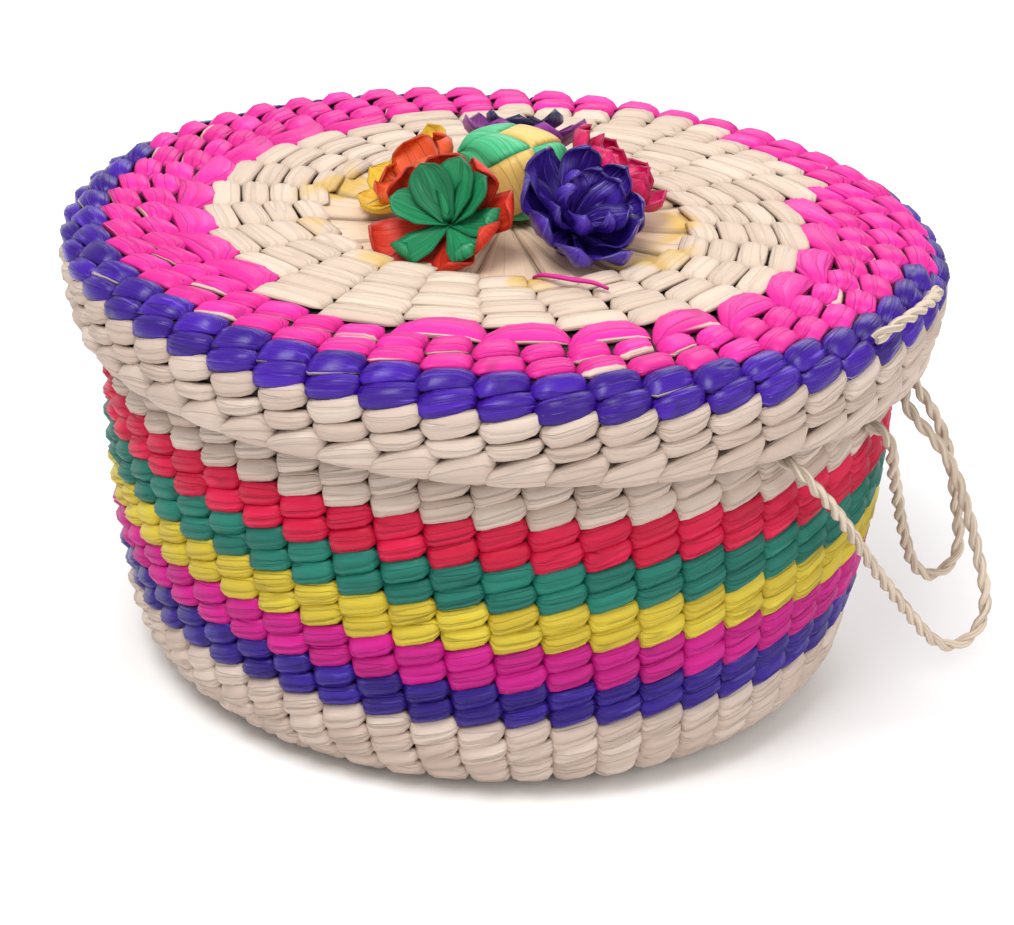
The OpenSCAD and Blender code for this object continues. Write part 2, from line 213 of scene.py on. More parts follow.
def run_nodes(obj: bpy.types.Object, tree: bpy.types.NodeTree, values: dict[str, object]) -> bpy.types.Mesh:
    """Runs a geometry tree on an object and returns the result as a plain mesh.

    Args:
        obj: The object that holds the modifier.
        tree: The geometry node tree.
        values: The tree's inputs, by the name of the socket.

    Returns:
        The evaluated mesh.
    """
    modifier = obj.modifiers.new("weave", "NODES")
    modifier.node_group = tree
    identifiers = {item.name: item.identifier for item in tree.interface.items_tree if item.in_out == "INPUT"}
    for name, value in values.items():
        modifier[identifiers[name]] = value
    graph = bpy.context.evaluated_depsgraph_get()
    graph.update()
    mesh = bpy.data.meshes.new_from_object(obj.evaluated_get(graph), depsgraph=graph)
    obj.modifiers.remove(modifier)
    return mesh


def make_object(
    name: str, data: bpy.types.ID, material: bpy.types.Material | None = None
) -> bpy.types.Object:
    """Makes an object in the scene, at the origin.

    Args:
        name: The object's name.
        data: Its mesh, curve, camera or light.
        material: The material that it is given, if any.

    Returns:
        The new object.
    """
    if material is not None:
        data.materials.append(material)
    obj = bpy.data.objects.new(name, data)
    bpy.context.scene.collection.objects.link(obj)
    return obj


def dress(obj: bpy.types.Object, body: str, slot: str, *nodes: str) -> None:
    """Sets what a finished piece rides on and hides the CAD nodes that it stands for.

    Args:
        obj: The finished piece.
        body: The body that it rides on.
        slot: The material slot of the record; not used.
        *nodes: The CAD nodes that it replaces.
    """
    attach(obj, body)
    if nodes:
        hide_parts(*nodes)
    log.info("%s: %d faces, on %s", obj.name, len(obj.data.polygons), body)


# ---------------------------------------------------------------------------------------------
# Finishes
# ---------------------------------------------------------------------------------------------


def palm_fibre_group() -> bpy.types.NodeTree:
    """Builds the shared pattern of palm leaf: long fibres, soft pleats, pale flecks that are partly painted highlight
    streaks, and masks for painted shade at the folds and the border.

    Returns:
        A group with the inputs Vector and Tone, and a mask or height for each effect.
    """
    g = Graph(bpy.data.node_groups.new("palm_fibre", "ShaderNodeTree"))
    g.socket("Vector", "Vector")
    g.socket("Tone", "Float", 0.5)
    for name in ("Fibre", "Fold", "Facet", "Pleat", "Fleck", "Edge", "Sliver"):
        g.socket(name, "Float", output=True)
    source = g.add("NodeGroupInput").outputs
    place, tone = source["Vector"], source["Tone"]
    offset = g.add("ShaderNodeCombineXYZ", {"X": g.math("MULTIPLY", tone, 37.0), "Y": g.math("MULTIPLY", tone, 11.0)})
    moved = g.vector("ADD", {0: place, 1: offset.outputs[0]})
    # Fine fibres, broad folds and short flecks, all stretched along the strip; the flecks are partly the leaf's lighter
    # fibres and partly painted highlight streaks.
    fibre = g.noise(moved, (1.1, 34.0, 1.0), 1.6, 4.0, 0.65)
    fold = g.noise(moved, (0.34, 4.2, 1.0), 1.25, 0.0)
    fleck = g.noise(moved, (0.9, 8.0, 1.0), 1.9, 2.0)
    swing = g.math("SUBTRACT", fold, 0.5)
    split = g.add("ShaderNodeSeparateXYZ", {0: place}).outputs
    # The painted shade along the border, where the strip dives under its neighbours; it fades from the sides and the
    # tips inwards.
    borders = []
    for axis, width in (("Y", 0.26), ("X", 0.2)):
        inward = g.math("SUBTRACT", 1.0, g.math("ABSOLUTE", g.math("MULTIPLY_ADD", split[axis], 2.0, -1.0)))
        borders.append(g.ranged(inward, 0.0, width, 1.0, 0.0))
    # The bare sliver along one side, which only some strips have.
    luck = g.math("FRACT", g.math("MULTIPLY", tone, 17.3))
    bare = g.math("ADD", g.math("MULTIPLY", g.math("SUBTRACT", luck, 0.55), 0.5), g.math("MULTIPLY", swing, 0.5))
    # The facet mask paints shade on one side of each fold, and the pleat mask marks the fold's line.
    g.add("NodeGroupOutput", {
        "Fibre": fibre, "Fold": fold, "Facet": g.ranged(fold, 0.5, 0.53),
        "Pleat": g.ranged(g.math("ABSOLUTE", swing), 0.0, 0.035, interpolation_type="SMOOTHSTEP"),
        "Fleck": g.ranged(fleck, 0.6, 0.72), "Edge": g.math("MAXIMUM", *borders),
        "Sliver": g.ranged(g.math("SUBTRACT", bare, split["Y"]), 0.0, 0.02),
    })
    return g.tree


class Pattern(Enum):
    """What a finish's pattern follows."""

    STRAND = "the piece's own UV map, with the fibres along U"
    OBJECT = "the object's coordinates"


@dataclass(frozen=True)
class PalmFinish:
    """A palm strip, natural or dyed: its colours, its gloss, how strongly each mark shows on it and how dark its
    painted shade is.
    """

    slot: str
    colour: Colour
    deep: Colour
    pale: Colour
    roughness: float = 0.5
    coat: float = 0.08
    # How strongly the pale flecks show: lighter fibres, and on the glossy dyes also painted highlight streaks.
    fleck: float = 0.25
    bump: float = 0.5
    sliver: float = 0.0
    stain: float = 0.0
    # How dark the painted shade along the sides and tips is.
    edge: float = 0.75
    # How dark the painted shade along each fold's line is.
    crease: float = 0.45
    specular: float = 0.25
    pattern: Pattern = Pattern.STRAND
    tone: float = 0.6
    # How dark the painted shade on one side of each fold is.
    facet: float = 0.34
    grain: float = 0.35
    shade: float = 0.45
    bare_leaf: Colour = (0.74, 0.58, 0.46)
    run_dye: Colour = (0.66, 0.42, 0.07)
    stain_radius: float = 0.052

    def material(self, fibre: bpy.types.NodeTree) -> bpy.types.Material:
        """Builds the material.

        Args:
            fibre: The shared palm pattern.

        Returns:
            A material whose colour, roughness and bump follow the fibres.
        """
        made = bpy.data.materials.new(self.slot)
        made.use_nodes = True
        made.node_tree.nodes.clear()
        g = Graph(made.node_tree)
        tone = g.add("ShaderNodeAttribute", attribute_name="tone").outputs["Fac"]
        leaf = g.add("ShaderNodeGroup", {"Vector": self.place(g), "Tone": tone}, node_tree=fibre).outputs
        shadow = tuple(c * self.shade for c in self.deep)
        # Tone and grain are the leaf's own colour; the facet layer paints shade on one side of each fold, the crease
        # layer paints shade along its line, and the pale flecks are partly painted highlight streaks.
        layers = [
            (tone, self.tone, self.deep), (leaf["Facet"], self.facet, self.deep),
            (g.ranged(leaf["Fibre"], 0.62, 0.36), self.grain, self.deep), (leaf["Fleck"], self.fleck, self.pale),
            (g.math("SUBTRACT", 1.0, leaf["Pleat"]), self.crease, shadow)]
        if self.stain:
            layers.append((self.stain_mask(g), self.stain, self.run_dye))
        if self.sliver:
            layers.append((leaf["Sliver"], self.sliver, self.bare_leaf))
        # Painted shade along the sides and tips, where the strip dives under its neighbours.
        layers.append((leaf["Edge"], self.edge, shadow))
        colour = (*self.colour, 1.0)
        for mask, share, over in layers:
            colour = g.add("ShaderNodeMix", {
                0: g.math("MULTIPLY", mask, share), 6: colour, 7: (*over, 1.0)}, data_type="RGBA").outputs[2]
        height = g.math("ADD", g.math("MULTIPLY", leaf["Fold"], 2.4),
                        g.math("MULTIPLY_ADD", leaf["Fibre"], 0.3, leaf["Pleat"]))
        bump = g.add("ShaderNodeBump", {"Height": height, "Strength": self.bump, "Distance": 0.0006}).outputs[0]
        gloss = g.ranged(leaf["Fibre"], 0.3, 0.7, self.roughness - 0.08, self.roughness + 0.12)
        surface = g.add("ShaderNodeBsdfPrincipled", {
            "Base Color": colour, "Roughness": gloss, "Normal": bump, "Specular IOR Level": self.specular,
            "Coat Weight": self.coat, "Coat Roughness": 0.3})
        g.add("ShaderNodeOutputMaterial", {"Surface": surface.outputs[0]})
        return made

    def place(self, g: Graph) -> bpy.types.NodeSocket:
        """Finds the place in the palm pattern.

        Args:
            g: The material's tree.

        Returns:
            The place, from the UV map or from the object's coordinates.
        """
        if self.pattern is Pattern.STRAND:
            return g.add("ShaderNodeUVMap", uv_map="UVMap").outputs[0]
        whole = g.add("ShaderNodeTexCoord").outputs["Object"]
        return g.add("ShaderNodeMapping", {"Vector": whole, "Scale": (60.0, 60.0, 60.0)}).outputs[0]

    def stain_mask(self, g: Graph) -> bpy.types.NodeSocket:
        """Marks where dye has run into the strips at the hub's edge.

        Args:
            g: The material's tree.

        Returns:
            The mask, which is 1 where the dye is strongest.
        """
        flat = g.vector("MULTIPLY", {0: g.add("ShaderNodeTexCoord").outputs["Object"], 1: (1.0, 1.0, 0.0)})
        away = g.math("ABSOLUTE", g.math("SUBTRACT", g.vector("LENGTH", {0: flat}), self.stain_radius))
        patch = g.ranged(g.noise(flat, (1.0, 1.0, 1.0), 36.0, 2.0), 0.50, 0.56)
        return g.math("MULTIPLY", g.ranged(away, 0.004, 0.010, 1.0, 0.0), patch)


FINISHES = (
    PalmFinish("natural_palm", (0.65, 0.535, 0.455), (0.47, 0.35, 0.285), (0.73, 0.64, 0.56), 0.6, 0.0, 0.35, edge=0.65,
               crease=0.25),
    PalmFinish("purple_palm", (0.060, 0.008, 0.37), (0.018, 0.002, 0.12), (0.20, 0.10, 0.72), 0.26, 0.15, 0.6,
               sliver=0.6, specular=0.2),
    PalmFinish("indigo_palm", (0.038, 0.010, 0.30), (0.016, 0.004, 0.10), (0.11, 0.09, 0.55), 0.32, 0.1, 0.5,
               specular=0.2),
    PalmFinish("magenta_palm", (0.60, 0.002, 0.25), (0.38, 0.002, 0.14), (0.72, 0.03, 0.38)),
    PalmFinish("yellow_palm", (0.66, 0.52, 0.04), (0.46, 0.32, 0.02), (0.76, 0.66, 0.15)),
    PalmFinish("green_palm", (0.010, 0.19, 0.135), (0.004, 0.10, 0.075), (0.03, 0.30, 0.23)),
    PalmFinish("red_palm", (0.68, 0.003, 0.060), (0.42, 0.002, 0.025), (0.76, 0.02, 0.11)),
    PalmFinish("pink_palm", (0.82, 0.022, 0.38), (0.62, 0.010, 0.20), (0.88, 0.13, 0.50), 0.46, 0.06, 0.3,
               sliver=0.9),
    PalmFinish("leaf_green_strip", (0.020, 0.32, 0.12), (0.006, 0.12, 0.05), (0.08, 0.50, 0.24), 0.36, 0.15, 0.3, 0.4,
               edge=0.5),
    PalmFinish("scarlet_strip", (0.74, 0.050, 0.015), (0.42, 0.012, 0.006), (0.84, 0.13, 0.05), 0.42, 0.12, 0.3, 0.4,
               edge=0.5),
    PalmFinish("violet_strip", (0.085, 0.030, 0.46), (0.020, 0.005, 0.15), (0.30, 0.19, 0.80), 0.26, 0.5, 0.6, 0.7,
               edge=0.55),
    PalmFinish("navy_strip", (0.020, 0.012, 0.10), (0.008, 0.004, 0.04), (0.06, 0.04, 0.22), 0.3, 0.3, 0.4, 0.5),
    PalmFinish("orange_strip", (0.82, 0.13, 0.02), (0.60, 0.05, 0.012), (0.90, 0.30, 0.07), 0.42, 0.12, 0.3, 0.4,
               edge=0.5),
    PalmFinish("gold_strip", (0.86, 0.60, 0.05), (0.74, 0.40, 0.02), (0.92, 0.74, 0.2), 0.42, 0.12, 0.3, 0.4, edge=0.4),
    PalmFinish("rose_strip", (0.74, 0.008, 0.15), (0.42, 0.004, 0.05), (0.86, 0.05, 0.32), 0.4, 0.12, 0.3, 0.4,
               edge=0.5),
    PalmFinish("plum_strip", (0.30, 0.03, 0.30), (0.13, 0.010, 0.15), (0.45, 0.10, 0.46), 0.36, 0.2, 0.3, 0.4,
               edge=0.5),
    PalmFinish("mint_strip", (0.07, 0.50, 0.22), (0.03, 0.36, 0.15), (0.20, 0.62, 0.34), 0.45, 0.08, 0.3, 0.3,
               edge=0.4),
    PalmFinish("cream_strip", (0.76, 0.54, 0.15), (0.68, 0.40, 0.12), (0.84, 0.66, 0.34), 0.45, 0.08, 0.3, 0.3,
               edge=0.4),
    PalmFinish("palm_cord", (0.66, 0.55, 0.44), (0.48, 0.37, 0.28), (0.76, 0.68, 0.57), 0.65, 0.0, 0.4, 0.6, edge=0.0),
    PalmFinish("hub_palm", (0.82, 0.62, 0.46), (0.66, 0.47, 0.32), (0.90, 0.74, 0.58), 0.6, 0.0, 0.3, 0.35,
               stain=0.85, edge=0.5),
    PalmFinish("crown_palm", (0.72, 0.59, 0.48), (0.54, 0.41, 0.32), (0.80, 0.70, 0.58), 0.6, 0.0, 0.35, 0.4,
               stain=0.7, edge=0.35, crease=0.25),
    # The stakes are nearly black: painted shade that shows in the gaps between the strands.
    PalmFinish("stake_palm", (0.045, 0.027, 0.018), (0.02, 0.012, 0.008), (0.08, 0.05, 0.03), 0.7, 0.0, 0.2,
               pattern=Pattern.OBJECT),
)


class Palette:
    """The materials of all finishes, by slot."""

    def __init__(self, finishes: tuple[PalmFinish, ...]) -> None:
        """Builds every finish once, on one shared palm pattern."""
        fibre = palm_fibre_group()
        self.materials = {finish.slot: finish.material(fibre) for finish in finishes}

    def __getitem__(self, slot: str) -> bpy.types.Material:
        """Returns the material of a slot."""
        return self.materials[slot]


# ---------------------------------------------------------------------------------------------
# Camera, light and floor
# ---------------------------------------------------------------------------------------------


@dataclass
class Studio:
    """The photograph's view, a pale floor and soft light."""

    camera_place: Point = (0.00397, -0.75277, 0.40077)
    pitch: float = 24.7
    roll: float = 3.2
    focal_pixels: float = 2832.8
    photo_width: int = 1014
    sensor: float = 36.0
    lights: tuple[tuple[str, Point, float, float], ...] = (
        ("key", (-0.35, -0.75, 1.5), 0.7, 19.0), ("fill", (1.2, -1.0, 0.8), 1.2, 7.0),
        ("rim", (0.2, 1.2, 1.1), 1.0, 8.0))
    aim: Point = (0.0, 0.0, 0.08)
    sky: float = 0.70
    floor_half: float = 6.0
    floor_tone: float = 0.93

    def camera(self) -> None:
        """Makes the camera where the photograph was taken from."""
        data = bpy.data.cameras.new("photo_view")
        data.sensor_width = self.sensor
        data.lens = self.focal_pixels / self.photo_width * self.sensor
        data.clip_start, data.clip_end = 0.05, 20.0
        obj = make_object("photo_view", data)
        pitch, roll = math.radians(self.pitch), math.radians(self.roll)
        ahead = Vector((0.0, math.cos(pitch), -math.sin(pitch)))
        right = Vector((1.0, 0.0, 0.0))
        up = right.cross(ahead)
        turned_right = right * math.cos(roll) + up * math.sin(roll)
        turned_up = up * math.cos(roll) - right * math.sin(roll)
        turn = Matrix((turned_right, turned_up, -ahead)).transposed()
        obj.matrix_world = Matrix.Translation(self.camera_place) @ turn.to_4x4()
        bpy.context.scene.camera = obj

    def light(self) -> None:
        """Makes a large soft key light, a fill, a rim light and a pale sky."""
        for name, place, size, power in self.lights:
            data = bpy.data.lights.new(name, "AREA")
            data.energy, data.size = power, size
            obj = make_object(name, data)
            obj.location = place
            obj.rotation_mode = "QUATERNION"
            obj.rotation_quaternion = (Vector(self.aim) - Vector(place)).to_track_quat("-Z", "Y")
        world = bpy.data.worlds.new("studio")
        world.use_nodes = True
        sky = world.node_tree.nodes["Background"]
        sky.inputs["Color"].default_value = (1.0, 1.0, 1.0, 1.0)
        sky.inputs["Strength"].default_value = self.sky
        bpy.context.scene.world = world
        bpy.context.scene.view_settings.view_transform = "Standard"

    def floor(self) -> None:
        """Makes the pale floor."""
        half = self.floor_half
        mesh = bpy.data.meshes.new("floor")
        mesh.from_pydata([(-half, -half, 0), (half, -half, 0), (half, half, 0), (-half, half, 0)], [], [(0, 1, 2, 3)])
        paint = bpy.data.materials.new("floor")
        paint.use_nodes = True
        surface = paint.node_tree.nodes["Principled BSDF"]
        surface.inputs["Base Color"].default_value = (*[self.floor_tone] * 3, 1.0)
        surface.inputs["Roughness"].default_value = 0.9
        make_object("floor", mesh, paint)


# ---------------------------------------------------------------------------------------------
# Curves that the wall and the lid follow
# ---------------------------------------------------------------------------------------------


@dataclass(frozen=True)
class BasketCurve:
    """The outside of the basket, row by row from the underside's flat to the rim, in millimetres."""

    belly_radius: float = 113.0
    belly_height: float = 84.0
    foot_draw: float = 6.5
    rim_draw: float = 6.5
    base_radius: float = 84.0
    base_row_width: float = 6.6
    foot_height: float = 26.0
    foot_rows: int = 6
    row_height: float = 6.2
    rim_z: float = 125.2
    lean: float = -0.08
    side: float = 1.0

    def wall_radius(self, z: float) -> float:
        """Returns the wall's outer radius at a height."""
        draw, end = (self.foot_draw, self.foot_height) if z < self.belly_height else (self.rim_draw, self.rim_z)
        return self.belly_radius - draw * ((z - self.belly_height) / (end - self.belly_height)) ** 2

    def at(self, t: float) -> Vector:
        """Follows the outside from row to row.

        Args:
            t: How many rows lie before the place; it may be between two rows.

        Returns:
            The radius and height there, in millimetres.
        """
        if t < 0:
            return Vector((self.base_radius + t * self.base_row_width, 0.0))
        if t < self.foot_rows:
            turn = math.radians(90.0 * t / self.foot_rows)
            reach = self.wall_radius(self.foot_height) - self.base_radius
            return Vector((self.base_radius + reach * math.sin(turn), self.foot_height * (1 - math.cos(turn))))
        z = self.foot_height + (t - self.foot_rows) * self.row_height
        return Vector((self.wall_radius(z), z))

    def outward(self, t: float) -> Vector:
        """Returns the direction out of the wall after t rows."""
        along = self.at(t + 0.02) - self.at(t - 0.02)
        return Vector((along.y, -along.x)).normalized() * self.side

    def under(self, t: float, depth: float) -> Vector:
        """Returns the radius and height at a depth below the outside."""
        return self.at(t) - depth * self.outward(t)


@dataclass(frozen=True)
class LidCurve(BasketCurve):
    """The outside of the lid, row by row from the hub over the edge to the rim, in millimetres."""

    hub_radius: float = 51.0
    crown_radius: float = 84.0
    edge_height: float = 9.5
    edge_width: float = 13.0
    skirt_clearance: float = 1.4
    skirt_draw: float = 4.5
    skirt_row_height: float = 6.2
    rim_height: float = 8.4
    dome: float = 1.5
    wall_thickness: float = 7.375
    crown_end: int = 4
    top_end: int = 7
    edge_end: int = 9
    skirt_end: int = 11
    rim_end: int = 12
    lean: float = 0.08
    side: float = -1.0

    @property
    def shoulder_z(self) -> float:
        """Height where the lid's top meets its rounded edge."""
        return self.rim_z + self.wall_thickness

    @property
    def edge_z(self) -> float:
        """Height where the rounded edge meets the skirt."""
        return self.shoulder_z - self.edge_height

    @property
    def skirt_z(self) -> float:
        """Height of the lid's lowest point."""
        return self.edge_z - 2 * self.skirt_row_height - self.rim_height

    @property
    def radius(self) -> float:
        """Radius of the lid at its widest."""
        return self.wall_radius(self.skirt_z) + self.skirt_clearance + self.wall_thickness + self.skirt_draw

    def top_z(self, r: float) -> float:
        """Returns the height of the lid's top at a radius."""
        return self.shoulder_z + self.dome * (1 - (r / (self.radius - self.edge_width)) ** 2)

    def at(self, t: float) -> Vector:
        """Follows the outside from row to row.

        Args:
            t: How many rows lie before the place; it may be between two rows.

        Returns:
            The radius and height there, in millimetres.
        """
        edge_radius = self.radius - self.edge_width
        if t < self.crown_end:
            r = self.hub_radius + t * (self.crown_radius - self.hub_radius) / self.crown_end
            return Vector((r, self.top_z(r)))
        if t < self.top_end:
            share = (t - self.crown_end) / (self.top_end - self.crown_end)
            r = self.crown_radius + share * (edge_radius - self.crown_radius)
            return Vector((r, self.top_z(r)))
        if t < self.edge_end:
            turn = math.radians(90.0 * (t - self.top_end) / (self.edge_end - self.top_end))
            return Vector((edge_radius + self.edge_width * math.sin(turn),
                           self.shoulder_z - self.edge_height * (1 - math.cos(turn))))
        z = self.skirt_z + (self.rim_end - t) * self.rim_height
        if t < self.skirt_end:
            z = self.edge_z - (t - self.edge_end) * self.skirt_row_height
        return Vector((self.radius - self.skirt_draw * ((self.edge_z - z) / (self.edge_z - self.skirt_z)) ** 2, z))


# ---------------------------------------------------------------------------------------------
# Shapes that repeat
# ---------------------------------------------------------------------------------------------


def along_line(points: tuple[tuple[float, float], ...], u: float) -> float:
    """Returns the height of a line through the given points at u, from 0 to 1."""
    for (u0, y0), (u1, y1) in zip(points, points[1:]):
        if u <= u1:
            return y0 + (y1 - y0) * (u - u0) / (u1 - u0)
    return points[-1][1]


def mapped_mesh(
    name: str, points: list[Vector], faces: list[list[int]], places: list[tuple[float, float]]
) -> bpy.types.Mesh:
    """Makes a smooth mesh with a UV map.

    Args:
        name: The mesh's name.
        points: Its points, in millimetres.
        faces: Its faces, each a list of the numbers of its points.
        places: The place in the UV map of each corner of each face, in order.

    Returns:
        The mesh.
    """
    mesh = bpy.data.meshes.new(name)
    mesh.from_pydata([p * MM for p in points], [], faces)
    for loop, place in zip(mesh.uv_layers.new(name="UVMap").data, places):
        loop.uv = place
    mesh.shade_smooth()
    return mesh


def closed_sheet(name: str, front: list[list[Vector]], back: list[Vector]) -> bpy.types.Mesh:
    """Makes a closed mesh of a grid of front points and one line of points behind them.

    Args:
        name: The mesh's name.
        front: Lines of points across the shape, one for each step along it.
        back: One point behind each of those lines.

    Returns:
        The mesh, with U along the shape and V across it.
    """
    steps, wide = len(front), len(front[0])
    behind = steps * wide
    faces, places = [], []

    def face(*corners: tuple[int, int]) -> None:
        """Adds a face.

        Args:
            *corners: Its corners, each the step along and the place across, where -1 is behind.
        """
        faces.append([behind + i if j < 0 else i * wide + j for i, j in corners])
        middle = 0.0 if any(j == 0 for _, j in corners) else 1.0
        places.extend((i / (steps - 1), middle if j < 0 else j / (wide - 1)) for i, j in corners)

    for i in range(steps - 1):
        for j in range(wide - 1):
            face((i, j), (i + 1, j), (i + 1, j + 1), (i, j + 1))
        face((i, 0), (i, -1), (i + 1, -1), (i + 1, 0))
        face((i, wide - 1), (i + 1, wide - 1), (i + 1, -1), (i, -1))
    face(*[(0, j) for j in range(wide)], (0, -1))
    face((steps - 1, -1), *[(steps - 1, j) for j in reversed(range(wide))])
    return mapped_mesh(name, [p for line in front for p in line] + back, faces, places)


def two_sided(name: str, upper: list[list[Vector]], lower: list[list[Vector]], reach: float = 0.9) -> bpy.types.Mesh:
    """Closes an upper and a lower grid of points into one thin mesh.

    Args:
        name: The mesh's name.
        upper: Lines of points across the shape, one for each step along it.
        lower: The same lines underneath.
        reach: How far the UV map goes along the shape.

    Returns:
        The mesh, with U along the shape and V across it.
    """
    last, edge = len(upper) - 1, len(upper[0]) - 1
    faces, places = [], []

    def face(*corners: tuple[int, int, int]) -> None:
        """Adds a face of corners given as side, step and place across."""
        faces.append([(side * (last + 1) + i) * (edge + 1) + j for side, i, j in corners])
        places.extend((i / last * reach, j / edge) for _, i, j in corners)

    for i in range(last):
        for j in range(edge):
            face((0, i, j), (0, i + 1, j), (0, i + 1, j + 1), (0, i, j + 1))
            face((1, i, j), (1, i, j + 1), (1, i + 1, j + 1), (1, i + 1, j))
        face((0, i, 0), (1, i, 0), (1, i + 1, 0), (0, i + 1, 0))
        face((0, i, edge), (0, i + 1, edge), (1, i + 1, edge), (1, i, edge))
    for j in range(edge):
        face((0, 0, j), (0, 0, j + 1), (1, 0, j + 1), (1, 0, j))
        face((0, last, j), (1, last, j), (1, last, j + 1), (0, last, j + 1))
    return mapped_mesh(name, [p for grid in (upper, lower) for line in grid for p in line], faces, places)


def closed_tube(name: str, rings: list[list[Vector]]) -> bpy.types.Mesh:
    """Closes a stack of rings into a mesh with a cap at each end.

    Args:
        name: The mesh's name.
        rings: Rings of points from the bottom up, in millimetres.

    Returns:
        The mesh, with U up the stack and V round it.
    """
    high, around = len(rings), len(rings[0])
    faces, places = [list(range(around))[::-1]], [(0.0, j / around) for j in range(around)][::-1]
    for i in range(high - 1):
        for j in range(around):
            corners = ((i, j), (i, j + 1), (i + 1, j + 1), (i + 1, j))
            faces.append([x * around + y % around for x, y in corners])
            places += [(x / high, y / around) for x, y in corners]
    faces.append([(high - 1) * around + j for j in range(around)])
    places += [(1.0, j / around) for j in range(around)]
    return mapped_mesh(name, [p for ring in rings for p in ring], faces, places)


@dataclass(frozen=True)
class StrandShape:
    """A strip of palm where it shows between two places where it dives under its neighbours.

    It runs along X, its row is as high as `height` along Y, and it rises along Z. The two edges are lines of
    points, as shares of the length and of the height. The crease and the shoulders lie across it, where the edges are
    at -1 and 1.
    """

    name: str
    length: float
    height: float
    low: tuple[tuple[float, float], ...]
    high: tuple[tuple[float, float], ...]
    depth: float = 3.4
    reach: float = 1.03
    tuck: float = 1.0
    crease: float = 0.45
    fullness: float = 4.0
    ends: float = 5.0
    variants: int = 5
    crease_half: float = 0.16
    shoulder: float = 0.86
    hem: float = 0.5

    def mesh(self, seed: int) -> bpy.types.Mesh:
        """Builds one variant of the strip, with a crease and edges of its own.

        Args:
            seed: The variant's number.

        Returns:
            The closed mesh.
        """
        dice = random.Random(f"{self.name}{seed}")
        # How far this variant's crease and edges wander.
        crease, drift = dice.uniform(-0.28, 0.3), dice.uniform(-0.3, 0.3)
        low_shift, high_shift = dice.uniform(-0.03, 0.03), dice.uniform(-0.03, 0.03)
        deep, slope = self.crease * dice.uniform(0.6, 1.5), dice.uniform(-0.3, 0.3)
        front, back = [], []
        for u, _ in self.low:
            end = 1 - abs(2 * u - 1) ** self.ends
            middle = crease + drift * (u - 0.5)
            low = along_line(self.low, u) + low_shift * end
            high = along_line(self.high, u) + high_shift * end
            x = (u - 0.5) * self.length * self.reach
            line = []
            fold = (middle - self.crease_half, middle, middle + self.crease_half)
            for b in (-1.0, -self.shoulder, *fold, self.shoulder, 1.0):
                body = 1 - abs(b) ** self.fullness
                z = self.depth * (0.1 + 0.9 * body) * end - self.tuck * (1 - end)
                z += end * (slope * b * body - (deep if b == middle else 0.0))
                line.append(Vector((x, self.height * (low + (high - low) * (b + 1) / 2), z)))
            front.append(line)
            lowest = min(p.z for p in line)
            back.append(Vector((x, self.height * (low + high) / 2, lowest - self.hem)))
        return closed_sheet(f"{self.name}_{seed}", front, back)


@dataclass(frozen=True)
class PetalShape:
    """A folded petal that starts at the flower's middle and runs out along X; sizes in millimetres."""

    name: str
    length: float
    width: float
    rise: float
    bend: float = 0.0
    roll: float = 0.0
    crease: float = 0.22
    cup: float = 0.1
    ripple: float = 0.0
    thick: float = 0.8
    blunt: float = 2.2
    steps: int = 12
    variants: int = 4
    across: int = 8
    foot: float = 0.6
    roll_zone: tuple[float, float] = (0.68, 0.32)
    taper_zone: tuple[float, float] = (0.45, 0.55)
    taper: float = 0.97

    def mesh(self, seed: int) -> bpy.types.Mesh:
        """Builds one variant of the petal, with its own lean, width and ripples.

        Args:
            seed: The variant's number.

        Returns:
            The closed mesh.
        """
        dice = random.Random(f"{self.name}{seed}")
        rise = math.radians(self.rise + dice.uniform(-7, 7))
        bend, roll = math.radians(self.bend + dice.uniform(-10, 10)), math.radians(self.roll * dice.uniform(0.7, 1.2))
        width, phase = self.width * dice.uniform(0.9, 1.1), dice.uniform(0, 6.28)
        skew = dice.uniform(-0.12, 0.12)
        (roll_from, roll_over), (taper_from, taper_over) = self.roll_zone, self.taper_zone
        upper, lower = [], []
        place = Vector((self.foot, 0.0))
        for i in range(self.steps + 1):
            s = i / self.steps
            tilt = rise + bend * s + roll * max(0.0, (s - roll_from) / roll_over) ** 1.5
            ahead, up = Vector((math.cos(tilt), math.sin(tilt))), Vector((-math.sin(tilt), math.cos(tilt)))
            half = 0.5 * width * min(1.0, 0.22 + 1.6 * s)
            half *= 1 - max(0.0, (s - taper_from) / taper_over) ** self.blunt * self.taper
            line, under = [], []
            for j in range(self.across + 1):
                b = 2 * j / self.across - 1
                lift = self.crease * width * 0.5 * abs(b - skew) + self.cup * width * b * b
                lift += self.ripple * math.sin(3.1 * b + 7.0 * s + phase) * s
                lift *= min(1.0, 2.5 * (1.05 - s))
                spot = place + up * lift
                line.append(Vector((spot.x, half * b, spot.y)))
                below = spot - up * self.thick
                under.append(Vector((below.x, half * b * 0.96, below.y)))
            upper.append(line)
            lower.append(under)
            place = place + ahead * (self.length / self.steps)
        return two_sided(f"{self.name}_{seed}", upper, lower)


